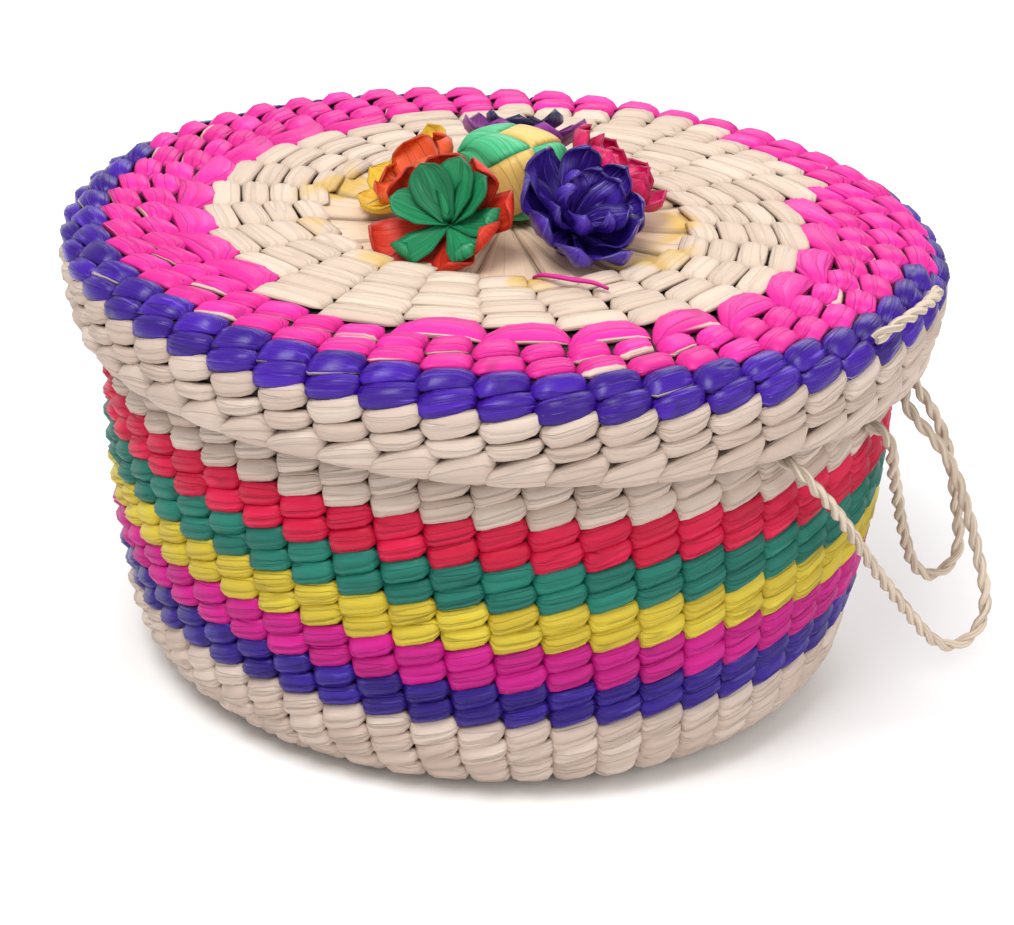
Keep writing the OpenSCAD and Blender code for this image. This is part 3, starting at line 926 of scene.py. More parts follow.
WALL = StrandShape(
    "wall", 13.6, 6.2,
    low=((0, -0.24), (0.04, -0.50), (0.13, -0.80), (0.28, -0.75), (0.45, -0.63), (0.65, -0.50), (0.84, -0.34),
         (0.93, -0.10), (1, 0.16)),
    high=((0, 0.0), (0.04, 0.20), (0.15, 0.34), (0.28, 0.44), (0.45, 0.55), (0.65, 0.67), (0.84, 0.78),
          (0.93, 0.60), (1, 0.28)),
    reach=1.07, tuck=1.2)
INSIDE = StrandShape(
    "inside", 13.6, 6.2,
    low=((0, 0.1), (0.15, -0.3), (0.5, -0.52), (0.85, -0.62), (1, -0.3)),
    high=((0, 0.36), (0.15, 0.62), (0.5, 0.5), (0.85, 0.34), (1, 0.0)),
    depth=2.2, reach=1.08, tuck=0.5, crease=0.25, variants=3)
CROWN = StrandShape(
    "crown", 16.5, 8.25,
    low=((0, -0.42), (0.1, -0.62), (0.3, -0.60), (0.5, -0.53), (0.7, -0.45), (0.9, -0.34), (1, 0.02)),
    high=((0, -0.06), (0.1, 0.32), (0.3, 0.42), (0.5, 0.50), (0.7, 0.57), (0.9, 0.64), (1, 0.40)),
    depth=1.9, reach=1.06, tuck=0.7, crease=0.22, fullness=6.0, ends=8.0)
LEAF = StrandShape(
    "leaf", 21.5, 9.4,
    low=((0, -0.76), (0.15, -0.66), (0.35, -0.56), (0.6, -0.52), (0.8, -0.46), (0.92, -0.40), (1, -0.24)),
    high=((0, -0.58), (0.15, -0.08), (0.35, 0.40), (0.6, 0.64), (0.8, 0.54), (0.92, 0.24), (1, -0.10)),
    depth=2.8, reach=1.22, tuck=1.2, crease=0.3)
TOP = StrandShape(
    "top", 12.4, 9.4,
    low=((0, -0.30), (0.06, -0.50), (0.16, -0.66), (0.3, -0.60), (0.5, -0.51), (0.7, -0.40), (0.88, -0.28),
         (1, 0.08)),
    high=((0, -0.06), (0.06, 0.16), (0.16, 0.30), (0.3, 0.38), (0.5, 0.48), (0.7, 0.57), (0.88, 0.64),
          (1, 0.34)),
    depth=2.7, reach=1.05, crease=0.4)
EDGE = StrandShape(
    "edge", 14.6, 8.6,
    low=((0, -0.24), (0.06, -0.42), (0.16, -0.57), (0.32, -0.56), (0.5, -0.49), (0.7, -0.38), (0.88, -0.22),
         (1, 0.08)),
    high=((0, -0.04), (0.06, 0.16), (0.16, 0.32), (0.32, 0.40), (0.5, 0.46), (0.7, 0.52), (0.88, 0.54),
          (1, 0.30)),
    reach=1.08, tuck=1.2, crease=0.3, fullness=2.4, ends=3.6)
SKIRT = StrandShape(
    "skirt", 14.6, 6.8,
    low=((0, -0.30), (0.08, -0.48), (0.2, -0.64), (0.35, -0.61), (0.5, -0.53), (0.7, -0.40), (0.88, -0.22),
         (1, 0.10)),
    high=((0, -0.12), (0.08, 0.18), (0.2, 0.33), (0.35, 0.41), (0.5, 0.49), (0.7, 0.59), (0.88, 0.66),
          (1, 0.34)),
    depth=3.2, reach=1.05, tuck=0.9, crease=0.35, ends=4.5)
BINDING = StrandShape(
    "binding", 14.9, 8.4,
    low=((0, -0.50), (0.15, -0.55), (0.35, -0.57), (0.6, -0.57), (0.85, -0.55), (0.95, -0.50), (1, -0.34)),
    high=((0, -0.42), (0.15, -0.04), (0.35, 0.32), (0.6, 0.58), (0.85, 0.70), (0.95, 0.46), (1, 0.06)),
    depth=3.2, reach=1.3, tuck=1.1, crease=0.35, fullness=5.0)


class Library:
    """The repeated shapes, each a collection of a few variants that no scene holds."""

    def __init__(self) -> None:
        """Starts empty."""
        self.collections: dict[str, bpy.types.Collection] = {}

    def variants(self, shape: StrandShape | PetalShape) -> bpy.types.Collection:
        """Looks up a shape's variants, and builds them on first use.

        Args:
            shape: The strip or petal.

        Returns:
            The collection of its variants.
        """
        if shape.name not in self.collections:
            made = bpy.data.collections.new(shape.name)
            for seed in range(shape.variants):
                mesh = shape.mesh(seed)
                made.objects.link(bpy.data.objects.new(mesh.name, mesh))
            self.collections[shape.name] = made
        return self.collections[shape.name]

    def clear(self) -> None:
        """Removes every shape once the pieces are plain meshes."""
        for collection in self.collections.values():
            for obj in list(collection.objects):
                bpy.data.objects.remove(obj)
            bpy.data.collections.remove(collection)
        self.collections.clear()


# ---------------------------------------------------------------------------------------------
# Laying the shapes side by side
# ---------------------------------------------------------------------------------------------


@dataclass(frozen=True)
class Spot:
    """Where one strip or petal goes: its place, its outward and lengthwise directions and its size."""

    place: Vector
    outward: Vector
    along: Vector
    size: tuple[float, float, float] = (1.0, 1.0, 1.0)
    behind: bool = False


def round_spot(
    turn: float, foot: Sequence[float], out: Sequence[float], size: Point, behind: bool = False
) -> Spot:
    """Places a strip at an angle round the object's middle axis.

    Args:
        turn: The angle, in radians.
        foot: The strip's distance from the axis and its height, in millimetres.
        out: The way that it faces, outwards and upwards.
        size: Its size along each axis, as shares of its shape's own.
        behind: Whether it lies behind the stakes, where it runs the other way round.

    Returns:
        The spot.
    """
    c, s = math.cos(turn), math.sin(turn)
    along = Vector((s, -c, 0.0)) if behind else Vector((-s, c, 0.0))
    place, outward = (Vector((pair[0] * c, pair[0] * s, pair[1])) for pair in (foot, out))
    return Spot(place, outward, along, size, behind)


def laid_shapes_tree() -> bpy.types.NodeTree:
    """Builds the tree that lays a variant of a shape on every spot, each a little different.

    Returns:
        A tree with the inputs Front, Back, Size Spread, Turn Spread, Lift Spread, Seed and Material.
    """
    g, source = start_tree("laid_shapes", {
        "Front": "Collection", "Back": "Collection", "Size Spread": "Float", "Turn Spread": "Float",
        "Lift Spread": "Float", "Seed": "Int"})
    seed = source["Seed"]
    outward, behind = g.named("outward"), g.named("behind", "BOOLEAN")
    lift = g.scatter(g.math("MULTIPLY", source["Lift Spread"], -1.0), source["Lift Spread"], seed)
    offset = g.vector("SCALE", {0: outward, "Scale": lift})
    spots = g.add("GeometryNodeSetPosition", {"Geometry": source["Geometry"], "Offset": offset}).outputs[0]
    facing = g.add("FunctionNodeAxesToRotation", {0: outward, 1: g.named("along")},
                   primary_axis="Z", secondary_axis="X").outputs[0]
    turn = g.scatter(g.math("MULTIPLY", source["Turn Spread"], -1.0), source["Turn Spread"], g.math("ADD", seed, 1))
    twist = g.add("FunctionNodeAxisAngleToRotation", {"Axis": (0.0, 0.0, 1.0), "Angle": turn}).outputs[0]
    turned = g.add("FunctionNodeRotateRotation", {0: facing, 1: twist}, rotation_space="LOCAL").outputs[0]
    least, most = g.math("SUBTRACT", 1.0, source["Size Spread"]), g.math("ADD", 1.0, source["Size Spread"])
    spread = g.scatter(least, most, g.math("ADD", seed, 2), "FLOAT_VECTOR")
    scale = g.vector("MULTIPLY", {0: g.named("size"), 1: spread})
    choice = g.scatter(0, 997, g.math("ADD", seed, 3), "INT")
    joined = g.add("GeometryNodeJoinGeometry")
    front_only = g.add("FunctionNodeBooleanMath", {0: behind}, operation="NOT").outputs[0]
    for name, chosen in (("Front", front_only), ("Back", behind)):
        shapes = g.add("GeometryNodeCollectionInfo", {
            "Collection": source[name], "Separate Children": True, "Reset Children": True}).outputs[0]
        laid = g.add("GeometryNodeInstanceOnPoints", {
            "Points": spots, "Selection": chosen, "Instance": shapes, "Pick Instance": True,
            "Instance Index": choice, "Rotation": turned, "Scale": scale}).outputs[0]
        g.feed(joined.inputs[0], laid)
    tone = g.scatter(0.0, 1.0, g.math("ADD", seed, 4))
    return g.end(g.store(joined.outputs[0], "tone", tone, "FLOAT", "INSTANCE"), source["Material"])


@dataclass
class Weaver:
    """Lays shapes on spots and turns each piece into one plain mesh."""

    palette: Palette
    library: Library

    def __post_init__(self) -> None:
        """Builds the shared tree."""
        self.tree = laid_shapes_tree()
        self.seed = 10

    def spots_mesh(self, name: str, spots: list[Spot]) -> bpy.types.Mesh:
        """Makes a mesh of one point for each spot, with the spot's facts as attributes.

        Args:
            name: The mesh's name.
            spots: The spots.

        Returns:
            The mesh.
        """
        mesh = bpy.data.meshes.new(name)
        mesh.from_pydata([s.place * MM for s in spots], [], [])
        for key in ("outward", "along", "size"):
            values = [c for s in spots for c in getattr(s, key)]
            mesh.attributes.new(key, "FLOAT_VECTOR", "POINT").data.foreach_set("vector", values)
        mesh.attributes.new("behind", "BOOLEAN", "POINT").data.foreach_set("value", [s.behind for s in spots])
        return mesh

    def lay(
        self, name: str, spots: list[Spot], slot: str, front: StrandShape | PetalShape,
        back: StrandShape | PetalShape | None = None, size: float = 0.05, turn: float = 0.03, lift: float = 0.15,
    ) -> bpy.types.Object:
        """Lays shapes on the spots.

        Args:
            name: The piece's name.
            spots: Where they go.
            slot: The finish's slot.
            front: The shape for the spots that face out.
            back: The shape for the spots behind.
            size: How much their sizes differ, as a share.
            turn: How much they turn, in radians.
            lift: How much they lift or sink, in millimetres.

        Returns:
            The piece as a plain mesh, not yet riding on anything.
        """
        self.seed += 7
        holder = make_object(f"{name}_spots", self.spots_mesh(f"{name}_spots", spots))
        mesh = run_nodes(holder, self.tree, {
            "Front": self.library.variants(front), "Back": self.library.variants(back or front),
            "Size Spread": size, "Turn Spread": turn, "Lift Spread": lift * MM, "Seed": self.seed,
            "Material": self.palette[slot]})
        bpy.data.objects.remove(holder)
        mesh.name = name
        mesh.shade_smooth()
        return make_object(name, mesh)

    def paint_stakes(self, node: str) -> None:
        """Gives a CAD node of stakes a near-black palm, painted shade for the gaps between the strands.

        Args:
            node: The node's name.
        """
        materials = frame["nodes"][node].data.materials
        materials.clear()
        materials.append(self.palette["stake_palm"])


@dataclass(frozen=True)
class RowPlan:
    """One row of weft: where it starts and ends on its curve, and how many lobes it has."""

    start: float
    end: float
    count: int = STAKES
    shape: StrandShape = WALL
    sink: float = 3.4
    shift: float = 0.53

    def middle(self) -> float:
        """Returns the row's middle on its curve."""
        return (self.start + self.end) / 2

    def height(self, curve: BasketCurve) -> float:
        """Returns the row's height along its curve, in millimetres."""
        return (curve.at(self.end) - curve.at(self.start)).length

    def spots(self, curve: BasketCurve, keep: Callable[[float], bool] | None = None) -> list[Spot]:
        """Returns the spots of the row's front strands.

        Args:
            curve: The curve that the row lies on.
            keep: A test on a lobe's angle in degrees, for a row of two colours.

        Returns:
            A spot for each lobe that passes the test.
        """
        middle, shape = self.middle(), self.shape
        foot, out = curve.under(middle, self.sink), curve.outward(middle)
        length = math.tau * curve.at(middle).x / self.count
        size = (length / shape.length, self.height(curve) / shape.height, 1.0)
        turns = [math.tau * ((j + self.shift) / self.count + curve.lean * middle / STAKES) for j in range(self.count)]
        return [round_spot(turn, foot, out, size) for turn in turns
                if keep is None or keep((math.degrees(turn) + 180) % 360 - 180)]

    def back_spots(self, curve: BasketCurve, depth: float = 5.0) -> list[Spot]:
        """Places the strands behind the stakes, half a lobe further round than the front ones.

        Args:
            curve: The curve that the row lies on.
            depth: How far under it they lie, in millimetres.

        Returns:
            A spot for each strand.
        """
        middle = self.middle()
        foot, inward = curve.under(middle, depth), -curve.outward(middle)
        size = (math.tau * foot.x / STAKES / INSIDE.length, self.height(curve) / INSIDE.height, 1.0)
        turns = [math.tau * (j + BACK_SHIFT + curve.lean * middle) / STAKES for j in range(STAKES)]
        return [round_spot(turn, foot, inward, size, behind=True) for turn in turns]


# ---------------------------------------------------------------------------------------------
# Basket
# ---------------------------------------------------------------------------------------------


@dataclass(frozen=True)
class HubStrip:
    """A stake's flat end, where the stakes meet side by side, crowned on both faces."""

    name: str = "hub_strip"
    radius: float = 51.6
    start: float = 1.5
    count: int = HUB_STAKES
    half_thick: float = 1.05
    lift: float = 0.0
    lift_from: float = 46.0
    variants: int = 3
    steps: int = 8
    across: int = 6
    fit: float = 0.97

    def mesh(self, seed: int) -> bpy.types.Mesh:
        """Builds one variant of the strip, which widens from the middle outwards along X.

        Args:
            seed: The variant's number.

        Returns:
            The closed mesh.
        """
        dice = random.Random(f"{self.name}{seed}")
        tilt, crown = dice.uniform(-0.18, 0.18), dice.uniform(0.35, 0.55)
        upper, lower = [], []
        for i in range(self.steps + 1):
            r = self.start + (self.radius - self.start) * i / self.steps
            half = r * math.tan(math.pi / self.count) * self.fit
            up = self.lift * max(0.0, (r - self.lift_from) / (self.radius - self.lift_from))
            line, under = [], []
            for j in range(self.across + 1):
                b = 2 * j / self.across - 1
                z = self.half_thick - crown + crown * (1 - b**4) + tilt * b
                line.append(Vector((r, half * b, z + up)))
                under.append(Vector((r, half * b, -z + 2 * tilt * b)))
            upper.append(line)
            lower.append(under)
        return two_sided(f"{self.name}_{seed}", upper, lower)

    def spots(self, height: float, shift: float = 0.0) -> list[Spot]:
        """Returns a spot for each strip of a disc at a height, turned by a share of a strip."""
        turns = [math.tau * (i + shift) / self.count for i in range(self.count)]
        return [Spot(Vector((0, 0, height)), Vector((0, 0, 1)), Vector((math.cos(a), math.sin(a), 0))) for a in turns]


@dataclass
class Basket:
    """The basket: underside, foot, five dyed bands, shoulder, collar and bound rim."""

    weaver: Weaver
    curve: BasketCurve = BasketCurve()
    hub_middle: float = 4.85
    flat_sink: float = 3.85
    wall_sink: float = 3.4
    rim_row: tuple[float, float] = (20.9, 21.9)
    rim_front_sink: float = 3.0
    rim_back_sink: float = 5.2
    rim_top_sink: float = 2.6
    rim_top_size: tuple[float, float] = (1.25, 0.7)
    wall_purple: str = "indigo_palm"
    bands: tuple[tuple[str, str, int, int], ...] = (
        ("base_weft", "natural_palm", -5, 0), ("heel_weft", "natural_palm", 0, 3),
        ("foot_weft", "natural_palm", 3, 6), ("purple_band", "purple_palm", 6, 8),
        ("magenta_band", "magenta_palm", 8, 10), ("yellow_band", "yellow_palm", 10, 12),
        ("green_band", "green_palm", 12, 14), ("red_band", "red_palm", 14, 16),
        ("shoulder_weft", "natural_palm", 16, 18), ("collar_weft", "natural_palm", 18, 21))

    def hub(self) -> None:
        """Makes the disc of stakes in the middle of the underside."""
        strip = HubStrip()
        spots = strip.spots(self.hub_middle)
        obj = self.weaver.lay("base_hub_strips", spots, "natural_palm", strip, size=0.0, turn=0.01, lift=0.12)
        dress(obj, "basket", "natural_palm", "base_hub")

    def rows(self) -> None:
        """Makes every band of weft, front and back strands together."""
        for node, slot, start, end in self.bands:
            spots = []
            for k in range(start, end):
                row = RowPlan(k, k + 1, sink=self.wall_sink if k > 0 else self.flat_sink)
                spots += row.spots(self.curve) + row.back_spots(self.curve)
            dye = self.wall_purple if slot == "purple_palm" else slot
            obj = self.weaver.lay(f"{node}_lobes", spots, dye, WALL, INSIDE)
            dress(obj, "basket", slot, node)

    def rim(self) -> None:
        """Makes the binding over the wall's top."""
        row = RowPlan(*self.rim_row, sink=self.rim_front_sink)
        spots = row.spots(self.curve) + row.back_spots(self.curve, self.rim_back_sink)
        foot = (self.curve.at(row.end).x - self.wall_sink, self.curve.rim_z - self.rim_top_sink)
        size = (math.tau * foot[0] / STAKES / WALL.length, *self.rim_top_size)
        spots += [round_spot(math.tau * (j + 0.5) / STAKES, foot, (0.0, 1.0), size) for j in range(STAKES)]
        obj = self.weaver.lay("basket_rim_binding", spots, "natural_palm", WALL, INSIDE, lift=0.05)
        dress(obj, "basket", "natural_palm", "basket_rim")

    def build(self) -> None:
        """Makes the whole basket."""
        self.hub()
        self.rows()
        self.rim()
        self.weaver.paint_stakes("basket_stakes")


# ---------------------------------------------------------------------------------------------
# Lid
# ---------------------------------------------------------------------------------------------


@dataclass
class Lid:
    """The lid: hub, plain crown, dyed rows, rounded edge, skirt and bound rim."""

    weaver: Weaver
    curve: LidCurve = LidCurve()
    plain_edge: tuple[tuple[float, float], ...] = (
        (-180, 78), (-138, 78), (-130, 95), (-120, 99), (-106, 90), (-92, 84), (-64, 83), (-22, 78), (8, 84),
        (18, 92), (32, 105), (54, 108), (70, 108), (84, 104), (97, 97), (112, 90), (126, 84), (157, 78), (180, 78))
    pink_edge: tuple[float, float] = (-7.0, 158.0)
    half_wall: float = 3.65
    hub_sink: float = 1.2
    back_gap: float = 2.35
    back_flat: float = 0.9
    crown_rows: int = 4
    crown_sink: float = 2.5
    crown_drift: float = 0.04
    leaf_start: float = 3.7
    leaf_sink: float = 3.1
    leaf_shift: float = 0.62
    top_sink: float = 3.2
    skirt_rows: tuple[tuple[float, float], ...] = ((9.0, 10.2), (10.2, 11.05))
    rim_row: tuple[float, float] = (11.0, 12.0)
    rim_sink: float = 3.2
    loose_route: tuple[Point, ...] = (
        (8, -52.5, 132.9), (10, -54.5, 134.6), (14, -57, 135.4), (19, -58.4, 135.3), (24, -59.4, 135.2),
        (28, -60.8, 134.2))
    loose_half: float = 0.75
    loose_thick: float = 0.5

    def plain_to(self, angle: float) -> float:
        """Returns how far out the undyed strips reach at an angle, in millimetres."""
        return along_line(self.plain_edge, angle)

    def hub(self) -> None:
        """Makes the disc of stakes in the lid's middle."""
        strip = HubStrip("lid_hub_strip", radius=54.5, count=15, lift=1.5, variants=5)
        spots = strip.spots(self.curve.top_z(self.curve.hub_radius) - self.half_wall - self.hub_sink, shift=0.35)
        obj = self.weaver.lay("lid_hub_strips", spots, "hub_palm", strip, size=0.0, turn=0.01, lift=0.12)
        dress(obj, "lid", "natural_palm", "lid_hub")

    def flat_back(self, start: int, end: int) -> list[Spot]:
        """Places the strands under the lid's top, a little above the basket's rim.

        Args:
            start: The first row.
            end: The row after the last.

        Returns:
            A spot for each strand.
        """
        made = []
        for row in (RowPlan(k, k + 1) for k in range(start, end)):
            radius = self.curve.at(row.middle()).x
            size = (math.tau * radius / STAKES / INSIDE.length, row.height(self.curve) / INSIDE.height, self.back_flat)
            foot = (radius, self.curve.rim_z + self.back_gap)
            turns = [math.tau * (j + BACK_SHIFT) / STAKES for j in range(STAKES)]
            made += [round_spot(turn, foot, (0.0, -1.0), size, behind=True) for turn in turns]
        return made

    def split(self, row: RowPlan, at: float) -> tuple[list[Spot], list[Spot]]:
        """Returns the dyed and the undyed spots of a row whose middle is at a radius."""
        return (row.spots(self.curve, lambda a: self.plain_to(a) < at),
                row.spots(self.curve, lambda a: self.plain_to(a) >= at))

    def top(self) -> None:
        """Makes the crown's plain strips and the dyed rows round them."""
        curve, weaver, end = self.curve, self.weaver, self.crown_rows
        crown = []
        for k in range(end):
            crown += RowPlan(k, k + 1, HUB_STAKES, CROWN, self.crown_sink, 0.5 + self.crown_drift * k).spots(curve)
        obj = weaver.lay("crown_strips", crown + self.flat_back(0, end), "crown_palm", CROWN, INSIDE)
        dress(obj, "lid", "natural_palm", "crown_weft")
        at = curve.at(end + 0.5).x
        leaves = RowPlan(self.leaf_start, end + 1, HUB_STAKES, LEAF, self.leaf_sink, self.leaf_shift)
        dyed_leaves, _ = self.split(leaves, at)
        _, plain_leaves = self.split(RowPlan(end, end + 1, HUB_STAKES, CROWN, self.crown_sink, self.leaf_shift), at)
        dyed, plain = [], []
        for k in range(end + 1, curve.top_end):
            pink, bare = self.split(RowPlan(k, k + 1, shape=TOP, sink=self.top_sink), curve.at(k + 0.5).x)
            dyed += pink
            plain += bare
        obj = weaver.lay("pink_rows", dyed + self.flat_back(end, curve.top_end), "pink_palm", TOP, INSIDE)
        dress(obj, "lid", "pink_palm", "pink_band")
        dress(weaver.lay("pink_leaves", dyed_leaves, "pink_palm", LEAF), "lid", "pink_palm")
        dress(weaver.lay("plain_leaves", plain_leaves, "crown_palm", CROWN), "lid", "natural_palm")
        dress(weaver.lay("plain_rows", plain, "crown_palm", TOP), "lid", "natural_palm")

    def loose_strand(self) -> None:
        """Makes the end of a dyed strand that has come loose on the front of the crown."""
        route = smooth_route(self.loose_route, 4)
        upper, lower = [], []
        for i, place in enumerate(route):
            half = self.loose_half * math.sin(math.pi * (i + 1) / (len(route) + 1)) ** 0.5 + 0.1
            across = Vector((0.25, 0.95, 0.15)).normalized() * half
            upper.append([place / MM + across * b + Vector((0, 0, 0.25 * (1 - b * b))) for b in (-1, -0.4, 0.4, 1)])
            lower.append([p - Vector((0, 0, self.loose_thick)) for p in upper[-1]])
        name, slot = "loose_pink_strand", "pink_palm"
        dress(make_object(name, two_sided(name, lower, upper), self.weaver.palette[slot]), "lid", slot)

    def edge(self) -> None:
        """Makes the rounded edge's two rows, where the upper one is dyed in two colours."""
        upper, lower = (RowPlan(k, k + 1, shape=EDGE) for k in range(self.curve.top_end, self.curve.edge_end))
        start, end = self.pink_edge
        spots = upper.spots(self.curve, lambda a: not start < a < end) + lower.spots(self.curve)
        spots += upper.back_spots(self.curve) + lower.back_spots(self.curve)
        obj = self.weaver.lay("lid_edge_lobes", spots, "purple_palm", EDGE, INSIDE)
        dress(obj, "lid", "purple_palm", "lid_edge_band")
        spots = upper.spots(self.curve, lambda a: start < a < end)
        dress(self.weaver.lay("lid_edge_pink_lobes", spots, "pink_palm", EDGE), "lid", "pink_palm")

    def skirt(self) -> None:
        """Makes the skirt's broad upper row, its thin lower row and the bound rim."""
        spots = []
        for start, end in self.skirt_rows:
            row = RowPlan(start, end, shape=SKIRT)
            spots += row.spots(self.curve) + row.back_spots(self.curve)
        obj = self.weaver.lay("skirt_lobes", spots, "natural_palm", SKIRT, INSIDE)
        dress(obj, "lid", "natural_palm", "skirt_weft")
        row = RowPlan(*self.rim_row, shape=BINDING, sink=self.rim_sink)
        spots = row.spots(self.curve) + row.back_spots(self.curve)
        obj = self.weaver.lay("lid_rim_binding", spots, "natural_palm", BINDING, INSIDE)
        dress(obj, "lid", "natural_palm", "lid_rim")

    def build(self) -> None:
        """Makes the whole lid."""
        self.hub()
        self.top()
        self.loose_strand()
        self.edge()
        self.skirt()
        self.weaver.paint_stakes("lid_stakes")


# ---------------------------------------------------------------------------------------------
# Flowers and bead
# ---------------------------------------------------------------------------------------------


@dataclass(frozen=True)
class PetalRing:
    """One ring of petals: its node, finish, angles round the flower and height over the flower's foot."""

    node: str
    slot: str
    shape: PetalShape
    angles: tuple[float, ...]
    up: float = 0.0
    finish: str = ""


@dataclass(frozen=True)
class Flower:
    """One folded flower: its place on the hub and its rings of petals."""

    place: tuple[float, float]
    rings: tuple[PetalRing, ...]
    lean: float = 32.0


FLOWERS = (
    Flower((-14.0, -28.0), (
        PetalRing("red_petals", "scarlet_strip",
                  PetalShape("red_band", 23, 13, 20, bend=12, roll=150, crease=0.06, cup=0.04, blunt=8.0, steps=16),
                  (204, 156, 252, 300, 345, 28, 76, 112)),
        PetalRing("green_star", "leaf_green_strip",
                  PetalShape("green_petal", 18.5, 10, 38, bend=8, crease=0.3, cup=0.05, blunt=6.0),
                  (180, 226, 134, 272), 2.6),
        PetalRing("green_star", "leaf_green_strip",
                  PetalShape("green_curl", 20, 10, 20, bend=14, roll=200, crease=0.12, cup=0.04, blunt=8.0, steps=16),
                  (92, 44, 334), 3.4)),
        44.0),
    Flower((17.0, -24.5), (
        PetalRing("violet_petals", "violet_strip",
                  PetalShape("violet_petal", 27, 13, 8, bend=70, roll=60, crease=0.36, ripple=1.9, blunt=7.0, steps=16),
                  (0, 40, 82, 118, 160, 200, 241, 282, 322)),
        PetalRing("violet_heart", "violet_strip",
                  PetalShape("violet_fold", 20, 8.5, 34, bend=44, roll=100, crease=0.6, ripple=1.9, blunt=7.0,
                             steps=16),
                  (20, 60, 100, 140, 186, 226, 268, 310), 1.6)),
        40.0),
    Flower((-20.0, -2.0), (
        PetalRing("orange_petals", "orange_strip",
                  PetalShape("orange_petal", 19, 13, 32, bend=14, roll=130, crease=0.14, ripple=0.6, blunt=8.0),
                  (0, 50, 105, 160, 210, 262, 310)),
        PetalRing("yellow_petals", "gold_strip",
                  PetalShape("yellow_petal", 22.5, 12, 24, bend=18, roll=60, crease=0.2, ripple=0.6, blunt=7.0),
                  (18, 344, 312, 282, 240), 0.6)),
        40.0),
    Flower((23.0, 3.0), (
        PetalRing("magenta_petals", "rose_strip",
                  PetalShape("magenta_petal", 22.5, 14, 18, bend=30, roll=110, crease=0.14, ripple=0.8, blunt=8.0),
                  (0, 45, 92, 140, 188, 236, 284, 325)),
        PetalRing("magenta_heart", "rose_strip",
                  PetalShape("magenta_fold", 17, 10, 40, bend=24, roll=90, crease=0.3, ripple=1.0, blunt=7.0),
                  (20, 90, 165, 235, 305), 1.8)),
        38.0),
    Flower((3.5, 31.0), (
        PetalRing("purple_petals", "plum_strip",
                  PetalShape("purple_petal", 22.5, 15, 20, bend=20, roll=110, crease=0.10, ripple=0.6, blunt=8.0),
                  (8, 58, 110, 160, 208, 256, 308)),
        PetalRing("purple_heart", "violet_strip",
                  PetalShape("purple_fold", 17, 12, 40, bend=10, roll=110, crease=0.2, ripple=0.7, blunt=8.0),
                  (180, 250, 110, 0), 2.0, "navy_strip")),
        20.0),
)


@dataclass
class Flowers:
    """The five folded flowers tied to the lid's hub."""

    weaver: Weaver
    hub_z: float = 130.11
    stem: float = 6.0
    knot_radii: tuple[float, ...] = (2.6, 3.5, 2.7, 3.9, 3.0, 4.2, 2.4)
    knot_sides: int = 14
    knot_wave: float = 0.14
    knot_sink: float = 0.6
    knot_rise: float = 1.2
    flowers: tuple[Flower, ...] = FLOWERS

    def build(self) -> None:
        """Makes every ring of petals."""
        for flower in self.flowers:
            x, y = flower.place
            away = Vector((x, y, 0)).normalized()
            lean = math.radians(flower.lean)
            axis = away * math.sin(lean) + Vector((0, 0, math.cos(lean)))
            out = away * math.cos(lean) - Vector((0, 0, math.sin(lean)))
            side = axis.cross(out)
            for ring in flower.rings:
                foot = Vector((x, y, self.hub_z + self.stem)) + axis * ring.up
                spots = [Spot(foot, axis, out * math.cos(a) + side * math.sin(a))
                         for a in map(math.radians, ring.angles)]
                name, dye = f"{ring.shape.name}_ring", ring.finish or ring.slot
                obj = self.weaver.lay(name, spots, dye, ring.shape, size=0.07, turn=0.1, lift=0.4)
                dress(obj, "lid", ring.slot, ring.node)
            self.knot(flower, axis)

    def knot(self, flower: Flower, axis: Vector) -> None:
        """Makes the wound strip that ties a flower to the hub.

        Args:
            flower: The flower on top of it.
            axis: The way the flower faces.
        """
        slot, name = flower.rings[0].slot, f"{flower.rings[0].shape.name}_knot"
        foot = Vector((*flower.place, self.hub_z - self.knot_sink))
        top = Vector((*flower.place, self.hub_z + self.stem))
        top += axis * self.knot_rise
        rings = []
        for i, radius in enumerate(self.knot_radii):
            s = i / (len(self.knot_radii) - 1)
            middle, line = foot.lerp(top, s), []
            for a in (math.tau * j / self.knot_sides for j in range(self.knot_sides)):
                wave = 1 + self.knot_wave * math.sin(3 * a + 5 * s)
                line.append(middle + Vector((math.cos(a), math.sin(a), 0)) * radius * wave)
            rings.append(line)
        dress(make_object(name, closed_tube(name, rings), self.weaver.palette[slot]), "lid", slot)


